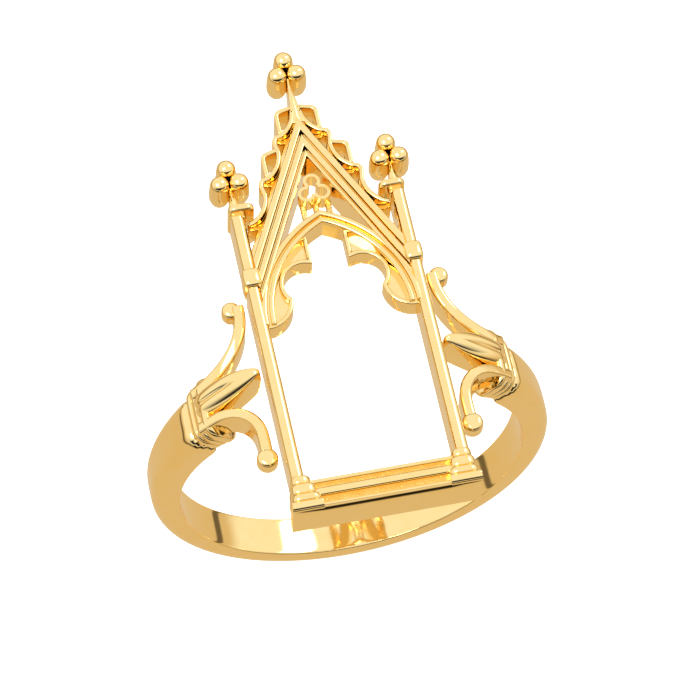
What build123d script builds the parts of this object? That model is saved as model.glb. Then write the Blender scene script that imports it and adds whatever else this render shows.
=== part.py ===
"""Gothic window ring: a gold finger ring whose head is an open tabernacle frame.

Frame of the part, in millimetres: the origin is the centre of the finger hole,
+Y runs along the finger towards the gable's apex, +Z points out through the
window's face, and +X is to the right as the face is looked at.  The head
is a flat frame of bars standing just outside the finger hole; the shank wraps
the finger and reaches the head through bound leaves and scrolls on each side.
"""
from build123d import *
from math import cos, hypot, radians, sin
import os

os.makedirs("parts", exist_ok=True)

# ---------------------------------------------------------------- finger and shank
FINGER_RADIUS = 8.65
SHANK_WIDTH = 2.05              # along the finger, at the palm side
SHOULDER_WIDTH = 2.9            # along the finger, beside the bindings
SHANK_THICKNESS = 1.25
SHOULDER_THICKNESS = 1.7
SHANK_SIDE = 0.42               # flat side of the band, as a share of its thickness
SHANK_SECTIONS = 15

# bindings: three cinctures on each shoulder, angles measured from the ring's top
BINDING_TOP_ANGLE = 42.3
CINCTURES = ((3.0, 10.68, 3.34), (2.3, 10.56, 3.2), (2.3, 10.5, 3.1))   # arc, radius, width
BINDING_ANGLE = BINDING_TOP_ANGLE + sum(cincture[0] for cincture in CINCTURES)
BAND_ROOT = 0.3                 # profiles start this far inside the finger hole, which then trims them

# cutting tools reach well past what they trim
TOOL_LENGTH = 12.0
TOOL_REACH = 20.0

# ---------------------------------------------------------------- window frame
BACK_Z = 8.8                    # flat back of the frame, just clear of the finger
FRONT_Z = 10.75                 # front of the shafts and of the gable's beads
COLUMN_X = 3.97
COLUMN_WIDTH = 0.66
COLUMN_ROUND = 0.24
KNOP_Y = 4.75
KNOP_WIDTH = 0.95
KNOP_HEIGHT = 1.1
KNOP_FRONT = 0.25               # how far a knop stands proud of its shaft
KNOP_ROUND = 0.3

SLAB_BOTTOM = -8.05
SLAB_HEIGHT = 0.45
SLAB_HALF = 4.55
SLAB_FRONT = 11.1               # at the ends, under the column bases
SLAB_MIDDLE_FRONT = 10.5
# base tiers from the slab upwards: inner edge, outer edge, height, front
BASE_TIERS = (
    (3.05, 4.5, 0.42, 11.08),
    (3.2, 4.44, 0.56, 11.0),
    (3.38, 4.36, 0.5, 10.88),
)
BASE_TOP = SLAB_BOTTOM + SLAB_HEIGHT + sum(tier[2] for tier in BASE_TIERS)
TIER_ROUND = 0.12
TIER_CORNER = 0.42              # the tiers are rounded in plan too, at their front corners

SILL_TOP = -6.35
SILL_GROOVE_FRONT = 10.2
# sill mouldings: lower edge, upper edge, front
SILL_BANDS = ((-7.3, -6.85, 10.72), (-6.56, SILL_TOP, 10.55))

CAPITAL_BOTTOM = 8.2
ABACUS_BOTTOM = 8.42
ABACUS_TOP = 8.8
ABACUS_INNER = 3.08
ABACUS_OUTER = 4.38
ABACUS_FRONT = 11.0
ABACUS_CORNER = 0.3
NECK_INNER = 3.5
NECK_FRONT = 10.6

# ---------------------------------------------------------------- gable
GABLE_APEX = 13.25
GABLE_SLOPE = 2.02              # fall in Y for each millimetre of X
GABLE_DEPTH = 2.37              # moulding's height, measured along Y
GABLE_BED_Z = 10.42
GABLE_BEADS = ((0.0, 0.86), (0.98, 1.78), (1.9, GABLE_DEPTH))   # offsets down from the outer line
CREST_RISE = 0.75               # crest strip above the gable's outer line
CREST_FRONT = 10.6
CREST_WIDTH = 0.24
CREST_BED_Z = 9.7               # front of the sunk strip between the gable and the crest's line
# the crest repeats one unit down the gable: it swings out to a peak, then drops straight back
CREST_PEAKS = 3
CREST_PITCH = 2.25              # from peak to peak, along Y
CREST_FIRST_PEAK = 12.25
CREST_STAND = 0.8               # from the gable's outer line out to a peak, along X
CREST_DROP = 0.85
CREST_SWING = 0.27              # how far a swing bows towards the gable
# a crocket stands off each drop but the last, and falls back onto the next swing
CROCKET_LIFT = 0.22             # its root, above the foot of the drop
CROCKET_REACH = 0.8
CROCKET_LEAN = 0.2
CROCKET_FALL = 1.2
CROCKET_BEND = 0.25

SPIRE_HALF = 0.34
SPIRE_FOOT = 13.36
SPIRE_ROOT = 12.55              # lower point, inside the gable
SPIRE_TIP = 15.6
SPIRE_FRONT = 10.7

# bead clusters: three round-nosed beads, one above two
BEAD_RADIUS = 0.475
BEAD_NOSE_Z = 10.4
BEAD_BACK_Z = 8.95
BEAD_SPREAD = 0.485
BEAD_RISE = 0.83
APEX_BEADS_Y = 15.77
PINNACLE_BEADS_Y = 10.24
SPIRELET_TIP = 10.1
SPIRELET_HALF = 0.34
SPIRELET_FRONT = 10.55

# ---------------------------------------------------------------- arch and tracery
ARCH_FOOT_X = 3.55
ARCH_FOOT_Y = 2.15
ARCH_APEX_Y = 7.5
ARCH_OUTER = 0.34               # rib reaches this far outside its centre line
ARCH_INNER = 0.3
ARCH_BED_Z = 10.4
ARCH_BACK_Z = 9.35
ARCH_FRONT_Z = 10.72
ARCH_SPAN = 8.0                 # cut-off above the feet, past the apex
ARCH_BEADS = ((0.06, 0.34), (-0.3, -0.04))
CUSP_BACK_Z = 9.3
CUSP_PANEL_Z = 10.1
CUSP_FRONT_Z = 10.42
CUSP_WIDTH = 0.23
# the border: an upright stem, then two round foils that meet in a cusp
CUSP_STEM_X = 1.0
CUSP_TOP_Y = 6.75
CUSP_SHOULDER_Y = 5.3
UPPER_FOIL_BELLY = (2.45, 4.75)
CUSP_POINT = (2.3, 3.4)
LOWER_FOIL_BELLY = (2.62, 2.62)
CUSP_END_X = 3.42

TREFOIL_Y = 9.28
TREFOIL_REACH = 0.44            # from its middle to each lobe's centre
TREFOIL_LOBE = 0.42
TREFOIL_HOLE = 0.26             # the three round foils run into one middle hole
TREFOIL_MIDDLE = 0.27
TREFOIL_BACK_Z = 9.4
TREFOIL_FRONT_Z = 10.3
BRACKET_HALF = 0.14
BRACKET_FOOT = 0.2              # how far a bracket's foot starts below the arch's apex
BRACKET_FRONT_Z = 10.15
BRACKETS = ((-0.62, 0.5), (0.0, 0.38), (0.62, 0.5))     # middle, and gap to the trefoil's centre

# ---------------------------------------------------------------- shoulders
SCROLL_INNER_RADIUS = 9.0
SCROLL_OUTER_RADIUS = 10.65
SCROLL_WIDTH = 0.5
ARM_ROOT_X = 7.8                # the scrolls' arms start here, inside the bindings
# each arm runs in along X and turns to run along Y: root's y, stem's x, tip's y, radius of the turn
UPPER_ARM = (0.88, 4.78, 4.1, 2.95)
UPPER_EYE = (5.12, 4.03, 0.5)
LOWER_ARM = (-0.98, 4.95, -3.9, 2.0)
LOWER_EYE = (4.98, -4.25, 0.6)
# the leaf: one arc from the tip over each edge's fullest place to the root
LEAF_TIP = (4.3, 0.1)
LEAF_UPPER_BELLY = (6.2, 0.9)
LEAF_LOWER_BELLY = (6.5, -0.7)
LEAF_ROOT_HALF = 0.61
LEAF_TIP_Z = 10.25
LEAF_MIDDLE = (5.95, 9.2)
LEAF_ROOT = (7.75, 7.5)
LEAF_BASE_Z = 4.65
LEAF_HEIGHT = 8.0
LEAF_HALF_BREADTH = 4.0

SIDES = (("left", -1), ("right", 1))


def on_side(points, sign):
    """Carry (x, y) points of the right-hand half to the chosen side."""
    return [(sign * x, y) for x, y in points]


def block(x_low, x_high, y_low, y_high, z_low, z_high, sign=1):
    """A rectangular bar between the given planes, mirrored when sign is -1."""
    with BuildPart() as bar:
        with Locations((sign * (x_low + x_high) / 2, (y_low + y_high) / 2, (z_low + z_high) / 2)):
            Box(x_high - x_low, y_high - y_low, z_high - z_low)
    return bar.part


def plate(points, z_low, z_high):
    """A flat plate with a straight-sided outline."""
    with BuildPart() as flat:
        with BuildSketch(Plane.XY.offset(z_low)):
            with BuildLine():
                Polyline(*points, close=True)
            make_face()
        extrude(amount=z_high - z_low, dir=(0, 0, 1))
    return flat.part


def sloping_bar(top, bottom, z_low, z_high, sign):
    """A bar parallel to the gable, between two offsets down from its outer line."""
    foot_x = COLUMN_X - COLUMN_WIDTH / 2
    fall = GABLE_SLOPE * foot_x
    outline = (
        (0, GABLE_APEX - top),
        (foot_x, GABLE_APEX - top - fall),
        (foot_x, GABLE_APEX - bottom - fall),
        (0, GABLE_APEX - bottom),
    )
    return plate(on_side(outline, sign), z_low, z_high)


def strip(points, width, z_low, z_high, corner_radius):
    """A strip of constant width along straight runs joined by round corners."""
    with BuildPart() as band:
        with BuildSketch(Plane.XY.offset(z_low)):
            with BuildLine():
                FilletPolyline(*points, radius=corner_radius)
            trace(line_width=width)
        extrude(amount=z_high - z_low, dir=(0, 0, 1))
    return band.part


def ribbon(route, width, z_low, z_high):
    """A strip of constant width along a chain of lines and arcs, round at every joint."""
    with BuildPart() as band:
        with BuildSketch(Plane.XY.offset(z_low)):
            for edge in route:
                trace(edge, line_width=width)
                with Locations(edge @ 0, edge @ 1):
                    Circle(width / 2)
        extrude(amount=z_high - z_low, dir=(0, 0, 1))
    return band.part


def crest_peak(step):
    """Place of a peak of the crest on the right-hand side, counted down from the first."""
    y = CREST_FIRST_PEAK - step * CREST_PITCH
    return (GABLE_APEX - y) / GABLE_SLOPE + CREST_STAND, y


def crest_route(sign):
    """The crest's running line: each unit swings out to a peak and drops back."""
    with BuildLine() as route:
        for step in range(CREST_PEAKS):
            above_x, above_y = crest_peak(step - 1)
            peak_x, peak_y = crest_peak(step)
            foot_y = above_y - CREST_DROP
            across, down = peak_x - above_x, foot_y - peak_y
            bow = CREST_SWING / hypot(across, down)
            belly = ((above_x + peak_x) / 2 - bow * down, (foot_y + peak_y) / 2 - bow * across)
            above, foot, belly, peak = on_side(((above_x, above_y), (above_x, foot_y), belly, (peak_x, peak_y)), sign)
            if step:
                Line(above, foot)
            ThreePointArc(foot, belly, peak)
    return route.edges()


def crocket_line(step, sign):
    """A crocket's three corners: out from the drop above a peak, and down onto the swing."""
    x, above_y = crest_peak(step - 1)
    y = above_y - CREST_DROP + CROCKET_LIFT
    corners = (
        (x, y),
        (x + CROCKET_REACH, y - CROCKET_LEAN),
        (x + CROCKET_REACH, y - CROCKET_LEAN - CROCKET_FALL),
    )
    return on_side(corners, sign)


def cusp_border(sign):
    """The cusping's edge: the stem and the two foils."""
    stem_top, shoulder, upper_belly, point, lower_belly, end = on_side((
        (CUSP_STEM_X, CUSP_TOP_Y), (CUSP_STEM_X, CUSP_SHOULDER_Y), UPPER_FOIL_BELLY,
        CUSP_POINT, LOWER_FOIL_BELLY, (CUSP_END_X, ARCH_FOOT_Y),
    ), sign)
    with BuildLine() as border:
        Line(stem_top, shoulder)
        ThreePointArc(shoulder, upper_belly, point)
        ThreePointArc(point, lower_belly, end)
    return border.edges()


def cushion(x_low, x_high, y_low, y_high, front, corner, sign):
    """A block from the frame's back, rounded in plan at its front corners and along its front edges."""
    body = block(x_low, x_high, y_low, y_high, BACK_Z, front, sign)
    uprights = body.edges().filter_by(Axis.Y).group_by(Axis.Z)[-1]
    body = body.fillet(corner, uprights)
    rims = body.edges().group_by(Axis.Y)
    front_rims = [edge for rim in (rims[0], rims[-1]) for edge in rim if edge.center().Z > BACK_Z + TIER_ROUND]
    return body.fillet(TIER_ROUND, front_rims)


def finger_cylinder(radius, length=TOOL_LENGTH):
    """A cylinder on the finger's axis."""
    with BuildPart() as core:
        Cylinder(radius, length, rotation=(90, 0, 0))
    return core.part


def past_binding(sign):
    """The space down the shoulder past the binding's upper face."""
    angle = radians(BINDING_TOP_ANGLE)
    edge = (sign * TOOL_REACH * sin(angle), TOOL_REACH * cos(angle))
    with BuildPart() as wedge:
        with BuildSketch(Plane((0, TOOL_LENGTH / 2, 0), x_dir=(1, 0, 0), z_dir=(0, -1, 0))):
            with BuildLine():
                Polyline((0, 0), edge, (sign * TOOL_REACH, -TOOL_REACH), (0, -TOOL_REACH), close=True)
            make_face()
        extrude(amount=TOOL_LENGTH, dir=(0, -1, 0))
    return wedge.part


def scroll_shell():
    """The curved layer round the finger that both scrolls of a shoulder are cut from."""
    with BuildPart() as shell:
        add(finger_cylinder(SCROLL_OUTER_RADIUS))
        add(finger_cylinder(SCROLL_INNER_RADIUS, length=TOOL_REACH), mode=Mode.SUBTRACT)
    return shell.part


def radial_plane(angle):
    """Plane through the finger's axis; its own -Y runs outwards at angle from the palm."""
    tangent = (cos(radians(angle)), 0, sin(radians(angle)))
    return Plane((0, 0, 0), x_dir=(0, 1, 0), z_dir=tangent)


def band_section(angle, width, thickness):
    """The band's profile at an angle from the palm: flat inside, low sides, domed outside."""
    root = FINGER_RADIUS - BAND_ROOT
    shoulder = FINGER_RADIUS + SHANK_SIDE * thickness
    with BuildSketch(radial_plane(angle)) as profile:
        with BuildLine():
            Polyline((width / 2, -shoulder), (width / 2, -root), (-width / 2, -root), (-width / 2, -shoulder))
            ThreePointArc((-width / 2, -shoulder), (0, -FINGER_RADIUS - thickness), (width / 2, -shoulder))
        make_face()
    return profile.sketch


def bead(x, y):
    """A round-nosed bead standing along Z."""
    with BuildPart() as pellet:
        with Locations((x, y, BEAD_BACK_Z)):
            Cylinder(BEAD_RADIUS, BEAD_NOSE_Z - BEAD_BACK_Z, align=(Align.CENTER, Align.CENTER, Align.MIN))
        with Locations((x, y, BEAD_NOSE_Z)):
            Sphere(BEAD_RADIUS)
    return pellet.part


def bead_cluster(x, y):
    """Three beads: two side by side at y, one above and between them."""
    with BuildPart() as cluster:
        add(bead(x, y + BEAD_RISE))
        add(bead(x - BEAD_SPREAD, y))
        add(bead(x + BEAD_SPREAD, y))
    return cluster.part


def save(part, name):
    """Label one finished sub-part and write its STEP file."""
    part.label = name
    export_step(part, f"parts/{name}.step")


# ================================================================ the shank
shank_half_turn = 180 - BINDING_ANGLE
finger_hole = finger_cylinder(FINGER_RADIUS)

with BuildPart() as ring_shank:
    sections = []
    for index in range(SHANK_SECTIONS):
        share = 2 * index / (SHANK_SECTIONS - 1) - 1
        growth = share ** 4
        width = SHANK_WIDTH + (SHOULDER_WIDTH - SHANK_WIDTH) * growth
        thickness = SHANK_THICKNESS + (SHOULDER_THICKNESS - SHANK_THICKNESS) * growth
        sections.append(band_section(share * shank_half_turn, width, thickness))
    loft(sections=sections)
    add(finger_hole, mode=Mode.SUBTRACT)
save(ring_shank.part, "ring_shank")

# ================================================================ bindings
for side, sign in SIDES:
    start = 180 - BINDING_TOP_ANGLE
    for place, (arc, radius, width) in zip(("upper", "middle", "lower"), CINCTURES):
        with BuildPart() as binding_ring:
            add(band_section(sign * start, width, radius - FINGER_RADIUS))
            revolve(axis=Axis.Y, revolution_arc=sign * arc)
            add(finger_hole, mode=Mode.SUBTRACT)
        start -= arc
        save(binding_ring.part, f"{side}_binding_{place}")

# ================================================================ columns and knops
shaft_inner = COLUMN_X - COLUMN_WIDTH / 2
shaft_outer = COLUMN_X + COLUMN_WIDTH / 2
knop_low = KNOP_Y - KNOP_HEIGHT / 2
knop_high = KNOP_Y + KNOP_HEIGHT / 2
shafts = []
knops = []
for side, sign in SIDES:
    with BuildPart() as column:
        add(block(shaft_inner, shaft_outer, BASE_TOP, knop_low, BACK_Z, FRONT_Z, sign))
        fillet(column.edges().filter_by(Axis.Y).group_by(Axis.Z)[-1], COLUMN_ROUND)
    save(column.part, f"{side}_column")

    with BuildPart() as upper_shaft:
        add(block(shaft_inner, shaft_outer, knop_high, CAPITAL_BOTTOM, BACK_Z, FRONT_Z, sign))
        fillet(upper_shaft.edges().filter_by(Axis.Y).group_by(Axis.Z)[-1], COLUMN_ROUND)
    save(upper_shaft.part, f"{side}_upper_shaft")
    shafts += [column.part, upper_shaft.part]

    with BuildPart() as knop:
        knop_inner = COLUMN_X - KNOP_WIDTH / 2
        knop_outer = COLUMN_X + KNOP_WIDTH / 2
        add(block(knop_inner, knop_outer, knop_low, knop_high, BACK_Z, FRONT_Z + KNOP_FRONT, sign))
        fillet(knop.edges().group_by(Axis.Z)[-1], KNOP_ROUND)
    save(knop.part, f"{side}_knop")
    knops.append(knop.part)

# ================================================================ bases, slab and sill
with BuildPart() as base_slab:
    slab_top = SLAB_BOTTOM + SLAB_HEIGHT
    foot_inner = BASE_TIERS[0][0]
    add(block(-SLAB_HALF, SLAB_HALF, SLAB_BOTTOM, slab_top, BACK_Z, SLAB_MIDDLE_FRONT))
    for side, sign in SIDES:
        add(block(foot_inner, SLAB_HALF, SLAB_BOTTOM, slab_top, SLAB_MIDDLE_FRONT, SLAB_FRONT, sign))
save(base_slab.part, "base_slab")

for side, sign in SIDES:
    with BuildPart() as column_base:
        tier_bottom = slab_top
        for inner, outer, height, front in BASE_TIERS:
            add(cushion(inner, outer, tier_bottom, tier_bottom + height, front, TIER_CORNER, sign))
            tier_bottom += height
    save(column_base.part, f"{side}_column_base")

with BuildPart() as sill:
    sill_half = BASE_TIERS[0][0]
    add(block(-sill_half, sill_half, slab_top, SILL_TOP, BACK_Z, SILL_GROOVE_FRONT))
    for low, high, front in SILL_BANDS:
        add(block(-sill_half, sill_half, low, high, SILL_GROOVE_FRONT, front))
save(sill.part, "sill")

# ================================================================ capitals and pinnacles
for side, sign in SIDES:
    with BuildPart() as capital:
        add(cushion(ABACUS_INNER, ABACUS_OUTER, ABACUS_BOTTOM, ABACUS_TOP, ABACUS_FRONT, ABACUS_CORNER, sign))
        add(block(NECK_INNER, shaft_outer, CAPITAL_BOTTOM, ABACUS_BOTTOM, BACK_Z, NECK_FRONT, sign))
    save(capital.part, f"{side}_capital")

    pinnacle_x = sign * COLUMN_X
    with BuildPart() as pinnacle_beads:
        add(bead_cluster(pinnacle_x, PINNACLE_BEADS_Y))
    save(pinnacle_beads.part, f"{side}_pinnacle_beads")

    with BuildPart() as spirelet:
        outline = [
            (pinnacle_x - SPIRELET_HALF, ABACUS_TOP),
            (pinnacle_x + SPIRELET_HALF, ABACUS_TOP),
            (pinnacle_x, SPIRELET_TIP),
        ]
        add(plate(outline, BACK_Z, SPIRELET_FRONT))
        add(pinnacle_beads.part, mode=Mode.SUBTRACT)
    save(spirelet.part, f"{side}_spirelet")

# ================================================================ gable
rakes = []
rake_envelopes = []             # the rakes' full thickness, with no grooves
for side, sign in SIDES:
    with BuildPart() as rake:
        add(sloping_bar(0, GABLE_DEPTH, BACK_Z, GABLE_BED_Z, sign))
        for top, bottom in GABLE_BEADS:
            add(sloping_bar(top, bottom, GABLE_BED_Z, FRONT_Z, sign))
        for knop in knops:
            add(knop, mode=Mode.SUBTRACT)
    save(rake.part, f"{side}_rake")
    rakes.append(rake.part)
    rake_envelopes.append(sloping_bar(0, GABLE_DEPTH, BACK_Z, FRONT_Z, sign))

with BuildPart() as apex_spire:
    add(plate([(-SPIRE_HALF, SPIRE_FOOT), (0, SPIRE_TIP), (SPIRE_HALF, SPIRE_FOOT), (0, SPIRE_ROOT)],
              BACK_Z, SPIRE_FRONT))
    for rake in rakes:
        add(rake, mode=Mode.SUBTRACT)
    add(bead_cluster(0, APEX_BEADS_Y), mode=Mode.SUBTRACT)
save(apex_spire.part, "apex_spire")

with BuildPart() as apex_beads:
    add(bead_cluster(0, APEX_BEADS_Y))
save(apex_beads.part, "apex_beads")

for side, sign in SIDES:
    with BuildPart() as crest:
        add(sloping_bar(-CREST_RISE, 0, BACK_Z, CREST_BED_Z, sign))
        add(ribbon(crest_route(sign), CREST_WIDTH, BACK_Z, CREST_FRONT))
        for step in range(CREST_PEAKS - 1):
            add(strip(crocket_line(step, sign), CREST_WIDTH, BACK_Z, CREST_FRONT, CROCKET_BEND))
        add(apex_spire.part, mode=Mode.SUBTRACT)
        for neighbour in rakes + shafts:
            add(neighbour, mode=Mode.SUBTRACT)
    save(crest.part, f"{side}_crest")

# ================================================================ arch, cusps and trefoil
# Each half of the arch is one arc, upright at its foot and meeting its twin at the apex.
arch_rise = ARCH_APEX_Y - ARCH_FOOT_Y
arch_radius = (arch_rise ** 2 + ARCH_FOOT_X ** 2) / (2 * ARCH_FOOT_X)
arch_ribs = []
for side, sign in SIDES:
    with BuildPart() as arch_rib:
        centre = (sign * (ARCH_FOOT_X - arch_radius), ARCH_FOOT_Y)
        for outside, inside, low, high in (
            (ARCH_OUTER, -ARCH_INNER, ARCH_BACK_Z, ARCH_BED_Z),
            *((outside, inside, ARCH_BED_Z, ARCH_FRONT_Z) for inside, outside in ARCH_BEADS),
        ):
            with BuildSketch(Plane.XY.offset(low)):
                with Locations(centre):
                    Circle(arch_radius + outside)
                    Circle(arch_radius + inside, mode=Mode.SUBTRACT)
                with Locations((sign * shaft_inner / 2, ARCH_FOOT_Y)):
                    Rectangle(shaft_inner, ARCH_SPAN, align=(Align.CENTER, Align.MIN), mode=Mode.INTERSECT)
            extrude(amount=high - low)
        for neighbour in rake_envelopes + knops:
            add(neighbour, mode=Mode.SUBTRACT)
    save(arch_rib.part, f"{side}_arch_rib")
    arch_ribs.append(arch_rib.part)

for side, sign in SIDES:
    with BuildPart() as cusping:
        with BuildSketch(Plane.XY.offset(CUSP_BACK_Z)):
            with BuildLine():
                add(cusp_border(sign))
                Polyline(*on_side(((CUSP_END_X, ARCH_FOOT_Y), (ARCH_FOOT_X, ARCH_FOOT_Y),
                                   (ARCH_FOOT_X, CUSP_TOP_Y), (CUSP_STEM_X, CUSP_TOP_Y)), sign))
            make_face()
            with Locations((sign * (ARCH_FOOT_X - arch_radius), ARCH_FOOT_Y)):
                Circle(arch_radius, mode=Mode.INTERSECT)
        extrude(amount=CUSP_PANEL_Z - CUSP_BACK_Z, dir=(0, 0, 1))
        add(ribbon(cusp_border(sign), CUSP_WIDTH, CUSP_BACK_Z, CUSP_FRONT_Z))
        for neighbour in arch_ribs + rake_envelopes + shafts + knops:
            add(neighbour, mode=Mode.SUBTRACT)
    save(cusping.part, f"{side}_cusping")

lobe_angles = (90, 210, 330)
with BuildPart() as trefoil:
    with BuildSketch(Plane.XY.offset(TREFOIL_BACK_Z)):
        with Locations((0, TREFOIL_Y)):
            Circle(TREFOIL_REACH)
            with PolarLocations(TREFOIL_REACH, len(lobe_angles), start_angle=lobe_angles[0]):
                Circle(TREFOIL_LOBE)
            Circle(TREFOIL_MIDDLE, mode=Mode.SUBTRACT)
            with PolarLocations(TREFOIL_REACH, len(lobe_angles), start_angle=lobe_angles[0]):
                Circle(TREFOIL_HOLE, mode=Mode.SUBTRACT)
    extrude(amount=TREFOIL_FRONT_Z - TREFOIL_BACK_Z)
    for rake in rakes:
        add(rake, mode=Mode.SUBTRACT)
save(trefoil.part, "trefoil")

with BuildPart() as trefoil_brackets:
    for middle_x, gap in BRACKETS:
        add(block(middle_x - BRACKET_HALF, middle_x + BRACKET_HALF, ARCH_APEX_Y - BRACKET_FOOT,
                  TREFOIL_Y - gap, TREFOIL_BACK_Z, BRACKET_FRONT_Z))
    for neighbour in arch_ribs + [trefoil.part]:
        add(neighbour, mode=Mode.SUBTRACT)
save(trefoil_brackets.part, "trefoil_brackets")

# ================================================================ shoulders
for side, sign in SIDES:
    with BuildPart() as leaf:
        with BuildSketch(Plane.XY.offset(LEAF_BASE_Z)):
            with BuildLine():
                point, upper_belly, lower_belly, upper_root, lower_root = on_side((
                    LEAF_TIP, LEAF_UPPER_BELLY, LEAF_LOWER_BELLY,
                    (ARM_ROOT_X, LEAF_ROOT_HALF), (ARM_ROOT_X, -LEAF_ROOT_HALF),
                ), sign)
                ThreePointArc(upper_root, upper_belly, point)
                ThreePointArc(point, lower_belly, lower_root)
                Line(lower_root, upper_root)
            make_face()
        extrude(amount=LEAF_HEIGHT, dir=(0, 0, 1))
        with BuildSketch(Plane.XZ):
            with BuildLine():
                tip = (sign * LEAF_TIP[0], LEAF_TIP_Z)
                middle = (sign * LEAF_MIDDLE[0], LEAF_MIDDLE[1])
                root = (sign * LEAF_ROOT[0], LEAF_ROOT[1])
                ThreePointArc(tip, middle, root)
                Polyline(root, (root[0], 0), (0, 0), (0, LEAF_TIP_Z), tip)
            make_face()
        extrude(amount=LEAF_HALF_BREADTH, both=True, mode=Mode.INTERSECT)
        for neighbour in [finger_hole, past_binding(sign)]:
            add(neighbour, mode=Mode.SUBTRACT)
    save(leaf.part, f"{side}_leaf")

    for place, arm, eye in (("upper", UPPER_ARM, UPPER_EYE), ("lower", LOWER_ARM, LOWER_EYE)):
        root_y, stem_x, tip_y, turn = arm
        eye_x, eye_y, eye_radius = eye
        corners = on_side(((ARM_ROOT_X, root_y), (stem_x, root_y), (stem_x, tip_y)), sign)
        with BuildPart() as scroll:
            add(strip(corners, SCROLL_WIDTH, 0, SCROLL_OUTER_RADIUS, turn))
            with Locations((sign * eye_x, eye_y, 0)):
                Cylinder(eye_radius, SCROLL_OUTER_RADIUS, align=(Align.CENTER, Align.CENTER, Align.MIN))
            add(scroll_shell(), mode=Mode.INTERSECT)
            for neighbour in [past_binding(sign), leaf.part, *shafts]:
                add(neighbour, mode=Mode.SUBTRACT)
        save(scroll.part, f"{side}_{place}_scroll")
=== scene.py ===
"""Gothic window ring in polished yellow gold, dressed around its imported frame.

Every piece is shaped on the bench in millimetres, in the frame's own axes, and is brought to metres when
it is handed over.  Pieces of the right-hand half are made once and mirrored for the left.
"""
import logging
import math
from contextlib import contextmanager
from dataclasses import dataclass
from enum import Enum
from typing import Callable, Iterator, Sequence

import bmesh
import bpy
from mathutils import Matrix, Vector


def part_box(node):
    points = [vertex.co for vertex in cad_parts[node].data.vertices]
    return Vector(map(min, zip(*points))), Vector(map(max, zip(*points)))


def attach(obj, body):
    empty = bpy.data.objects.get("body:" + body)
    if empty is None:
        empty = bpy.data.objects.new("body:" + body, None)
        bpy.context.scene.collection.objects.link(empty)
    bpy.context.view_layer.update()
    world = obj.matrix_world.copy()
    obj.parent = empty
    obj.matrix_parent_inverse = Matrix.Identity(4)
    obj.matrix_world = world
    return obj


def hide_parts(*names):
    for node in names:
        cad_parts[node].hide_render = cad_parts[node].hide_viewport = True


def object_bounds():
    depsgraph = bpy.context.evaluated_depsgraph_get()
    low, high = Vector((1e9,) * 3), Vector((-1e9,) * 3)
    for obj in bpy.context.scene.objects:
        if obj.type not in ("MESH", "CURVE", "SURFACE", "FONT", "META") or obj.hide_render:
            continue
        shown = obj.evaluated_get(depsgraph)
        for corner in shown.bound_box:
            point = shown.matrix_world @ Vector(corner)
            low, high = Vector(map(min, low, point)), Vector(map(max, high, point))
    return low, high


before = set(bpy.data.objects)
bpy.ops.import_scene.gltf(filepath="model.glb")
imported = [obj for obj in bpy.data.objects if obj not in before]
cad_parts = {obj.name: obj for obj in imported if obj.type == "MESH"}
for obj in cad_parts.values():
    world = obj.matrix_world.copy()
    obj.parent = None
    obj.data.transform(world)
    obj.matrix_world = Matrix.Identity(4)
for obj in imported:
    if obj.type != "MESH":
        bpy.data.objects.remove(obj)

log = logging.getLogger("window_ring")
cad_low, cad_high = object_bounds()

MM = 0.001
MERGE = 0.001                       # millimetres; points nearer than this are one
BODY = "root"
X, Y, Z = 0, 1, 2
Point = tuple[float, float]
Test = Callable[[object], bool]


class Kind(Enum):
    """What an edit-mode selection is made of."""

    VERT = "VERT"
    EDGE = "EDGE"
    FACE = "FACE"


class Turn(Enum):
    """How a strip's line passes through one of its points."""

    SMOOTH = "AUTO"
    SHARP = "VECTOR"


# ---------------------------------------------------------------- setting out
@dataclass(frozen=True)
class Arc:
    """The circular arc that runs from start over belly to end."""

    start: Point
    belly: Point
    end: Point

    @property
    def centre(self) -> Vector:
        """Centre of the arc's circle.

        Returns:
            The centre, in the arc's own plane.
        """
        start = Vector(self.start)
        first, second = Vector(self.belly) - start, Vector(self.end) - start
        offset = Vector((second.y * first.length_squared - first.y * second.length_squared,
                         first.x * second.length_squared - second.x * first.length_squared))
        return start + offset / (2 * (first.x * second.y - first.y * second.x))

    @property
    def radius(self) -> float:
        """Radius of the arc's circle."""
        return (Vector(self.start) - self.centre).length

    def places(self, steps: int = 8) -> list[Point]:
        """Walks along the arc.

        Args:
            steps: how many equal steps to take.

        Returns:
            The places stepped on, both ends included.
        """
        centre = self.centre
        first, through, last = (math.atan2(y - centre.y, x - centre.x)
                                for x, y in (self.start, self.belly, self.end))
        sweep = (last - first) % math.tau
        if (through - first) % math.tau > sweep:
            sweep -= math.tau
        return [(centre.x + self.radius * math.cos(first + sweep * step / steps),
                 centre.y + self.radius * math.sin(first + sweep * step / steps))
                for step in range(steps + 1)]

    def level(self, x: float) -> float:
        """The arc's height over a place along X, on the belly's side of its circle."""
        rise = math.sqrt(max(0.0, self.radius ** 2 - (x - self.centre.x) ** 2))
        return self.centre.y + math.copysign(rise, self.belly[1] - self.centre.y)


def quarter_bend(root: Point, stem: float, tip: float, turn: float, steps: int = 8) -> list[Point]:
    """Sets out an arm that runs in along X, turns through a quarter circle and runs on along Y.

    Args:
        root: where the arm starts.
        stem: the place along X where it runs on.
        tip: the place along Y where it ends.
        turn: radius of the quarter circle.
        steps: how many steps the quarter circle takes.

    Returns:
        The arm's places from root to tip.
    """
    way = math.copysign(1, tip - root[1])
    centre = (stem + turn, root[1] + way * turn)
    angles = [math.pi / 2 * step / steps for step in range(steps + 1)]
    bend = [(centre[0] - turn * math.sin(angle), centre[1] - way * turn * math.cos(angle))
            for angle in angles]
    run = [root] if root[0] - bend[0][0] > turn / steps else []       # no run shorter than a step
    return [*run, *bend, (stem, tip)]


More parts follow.
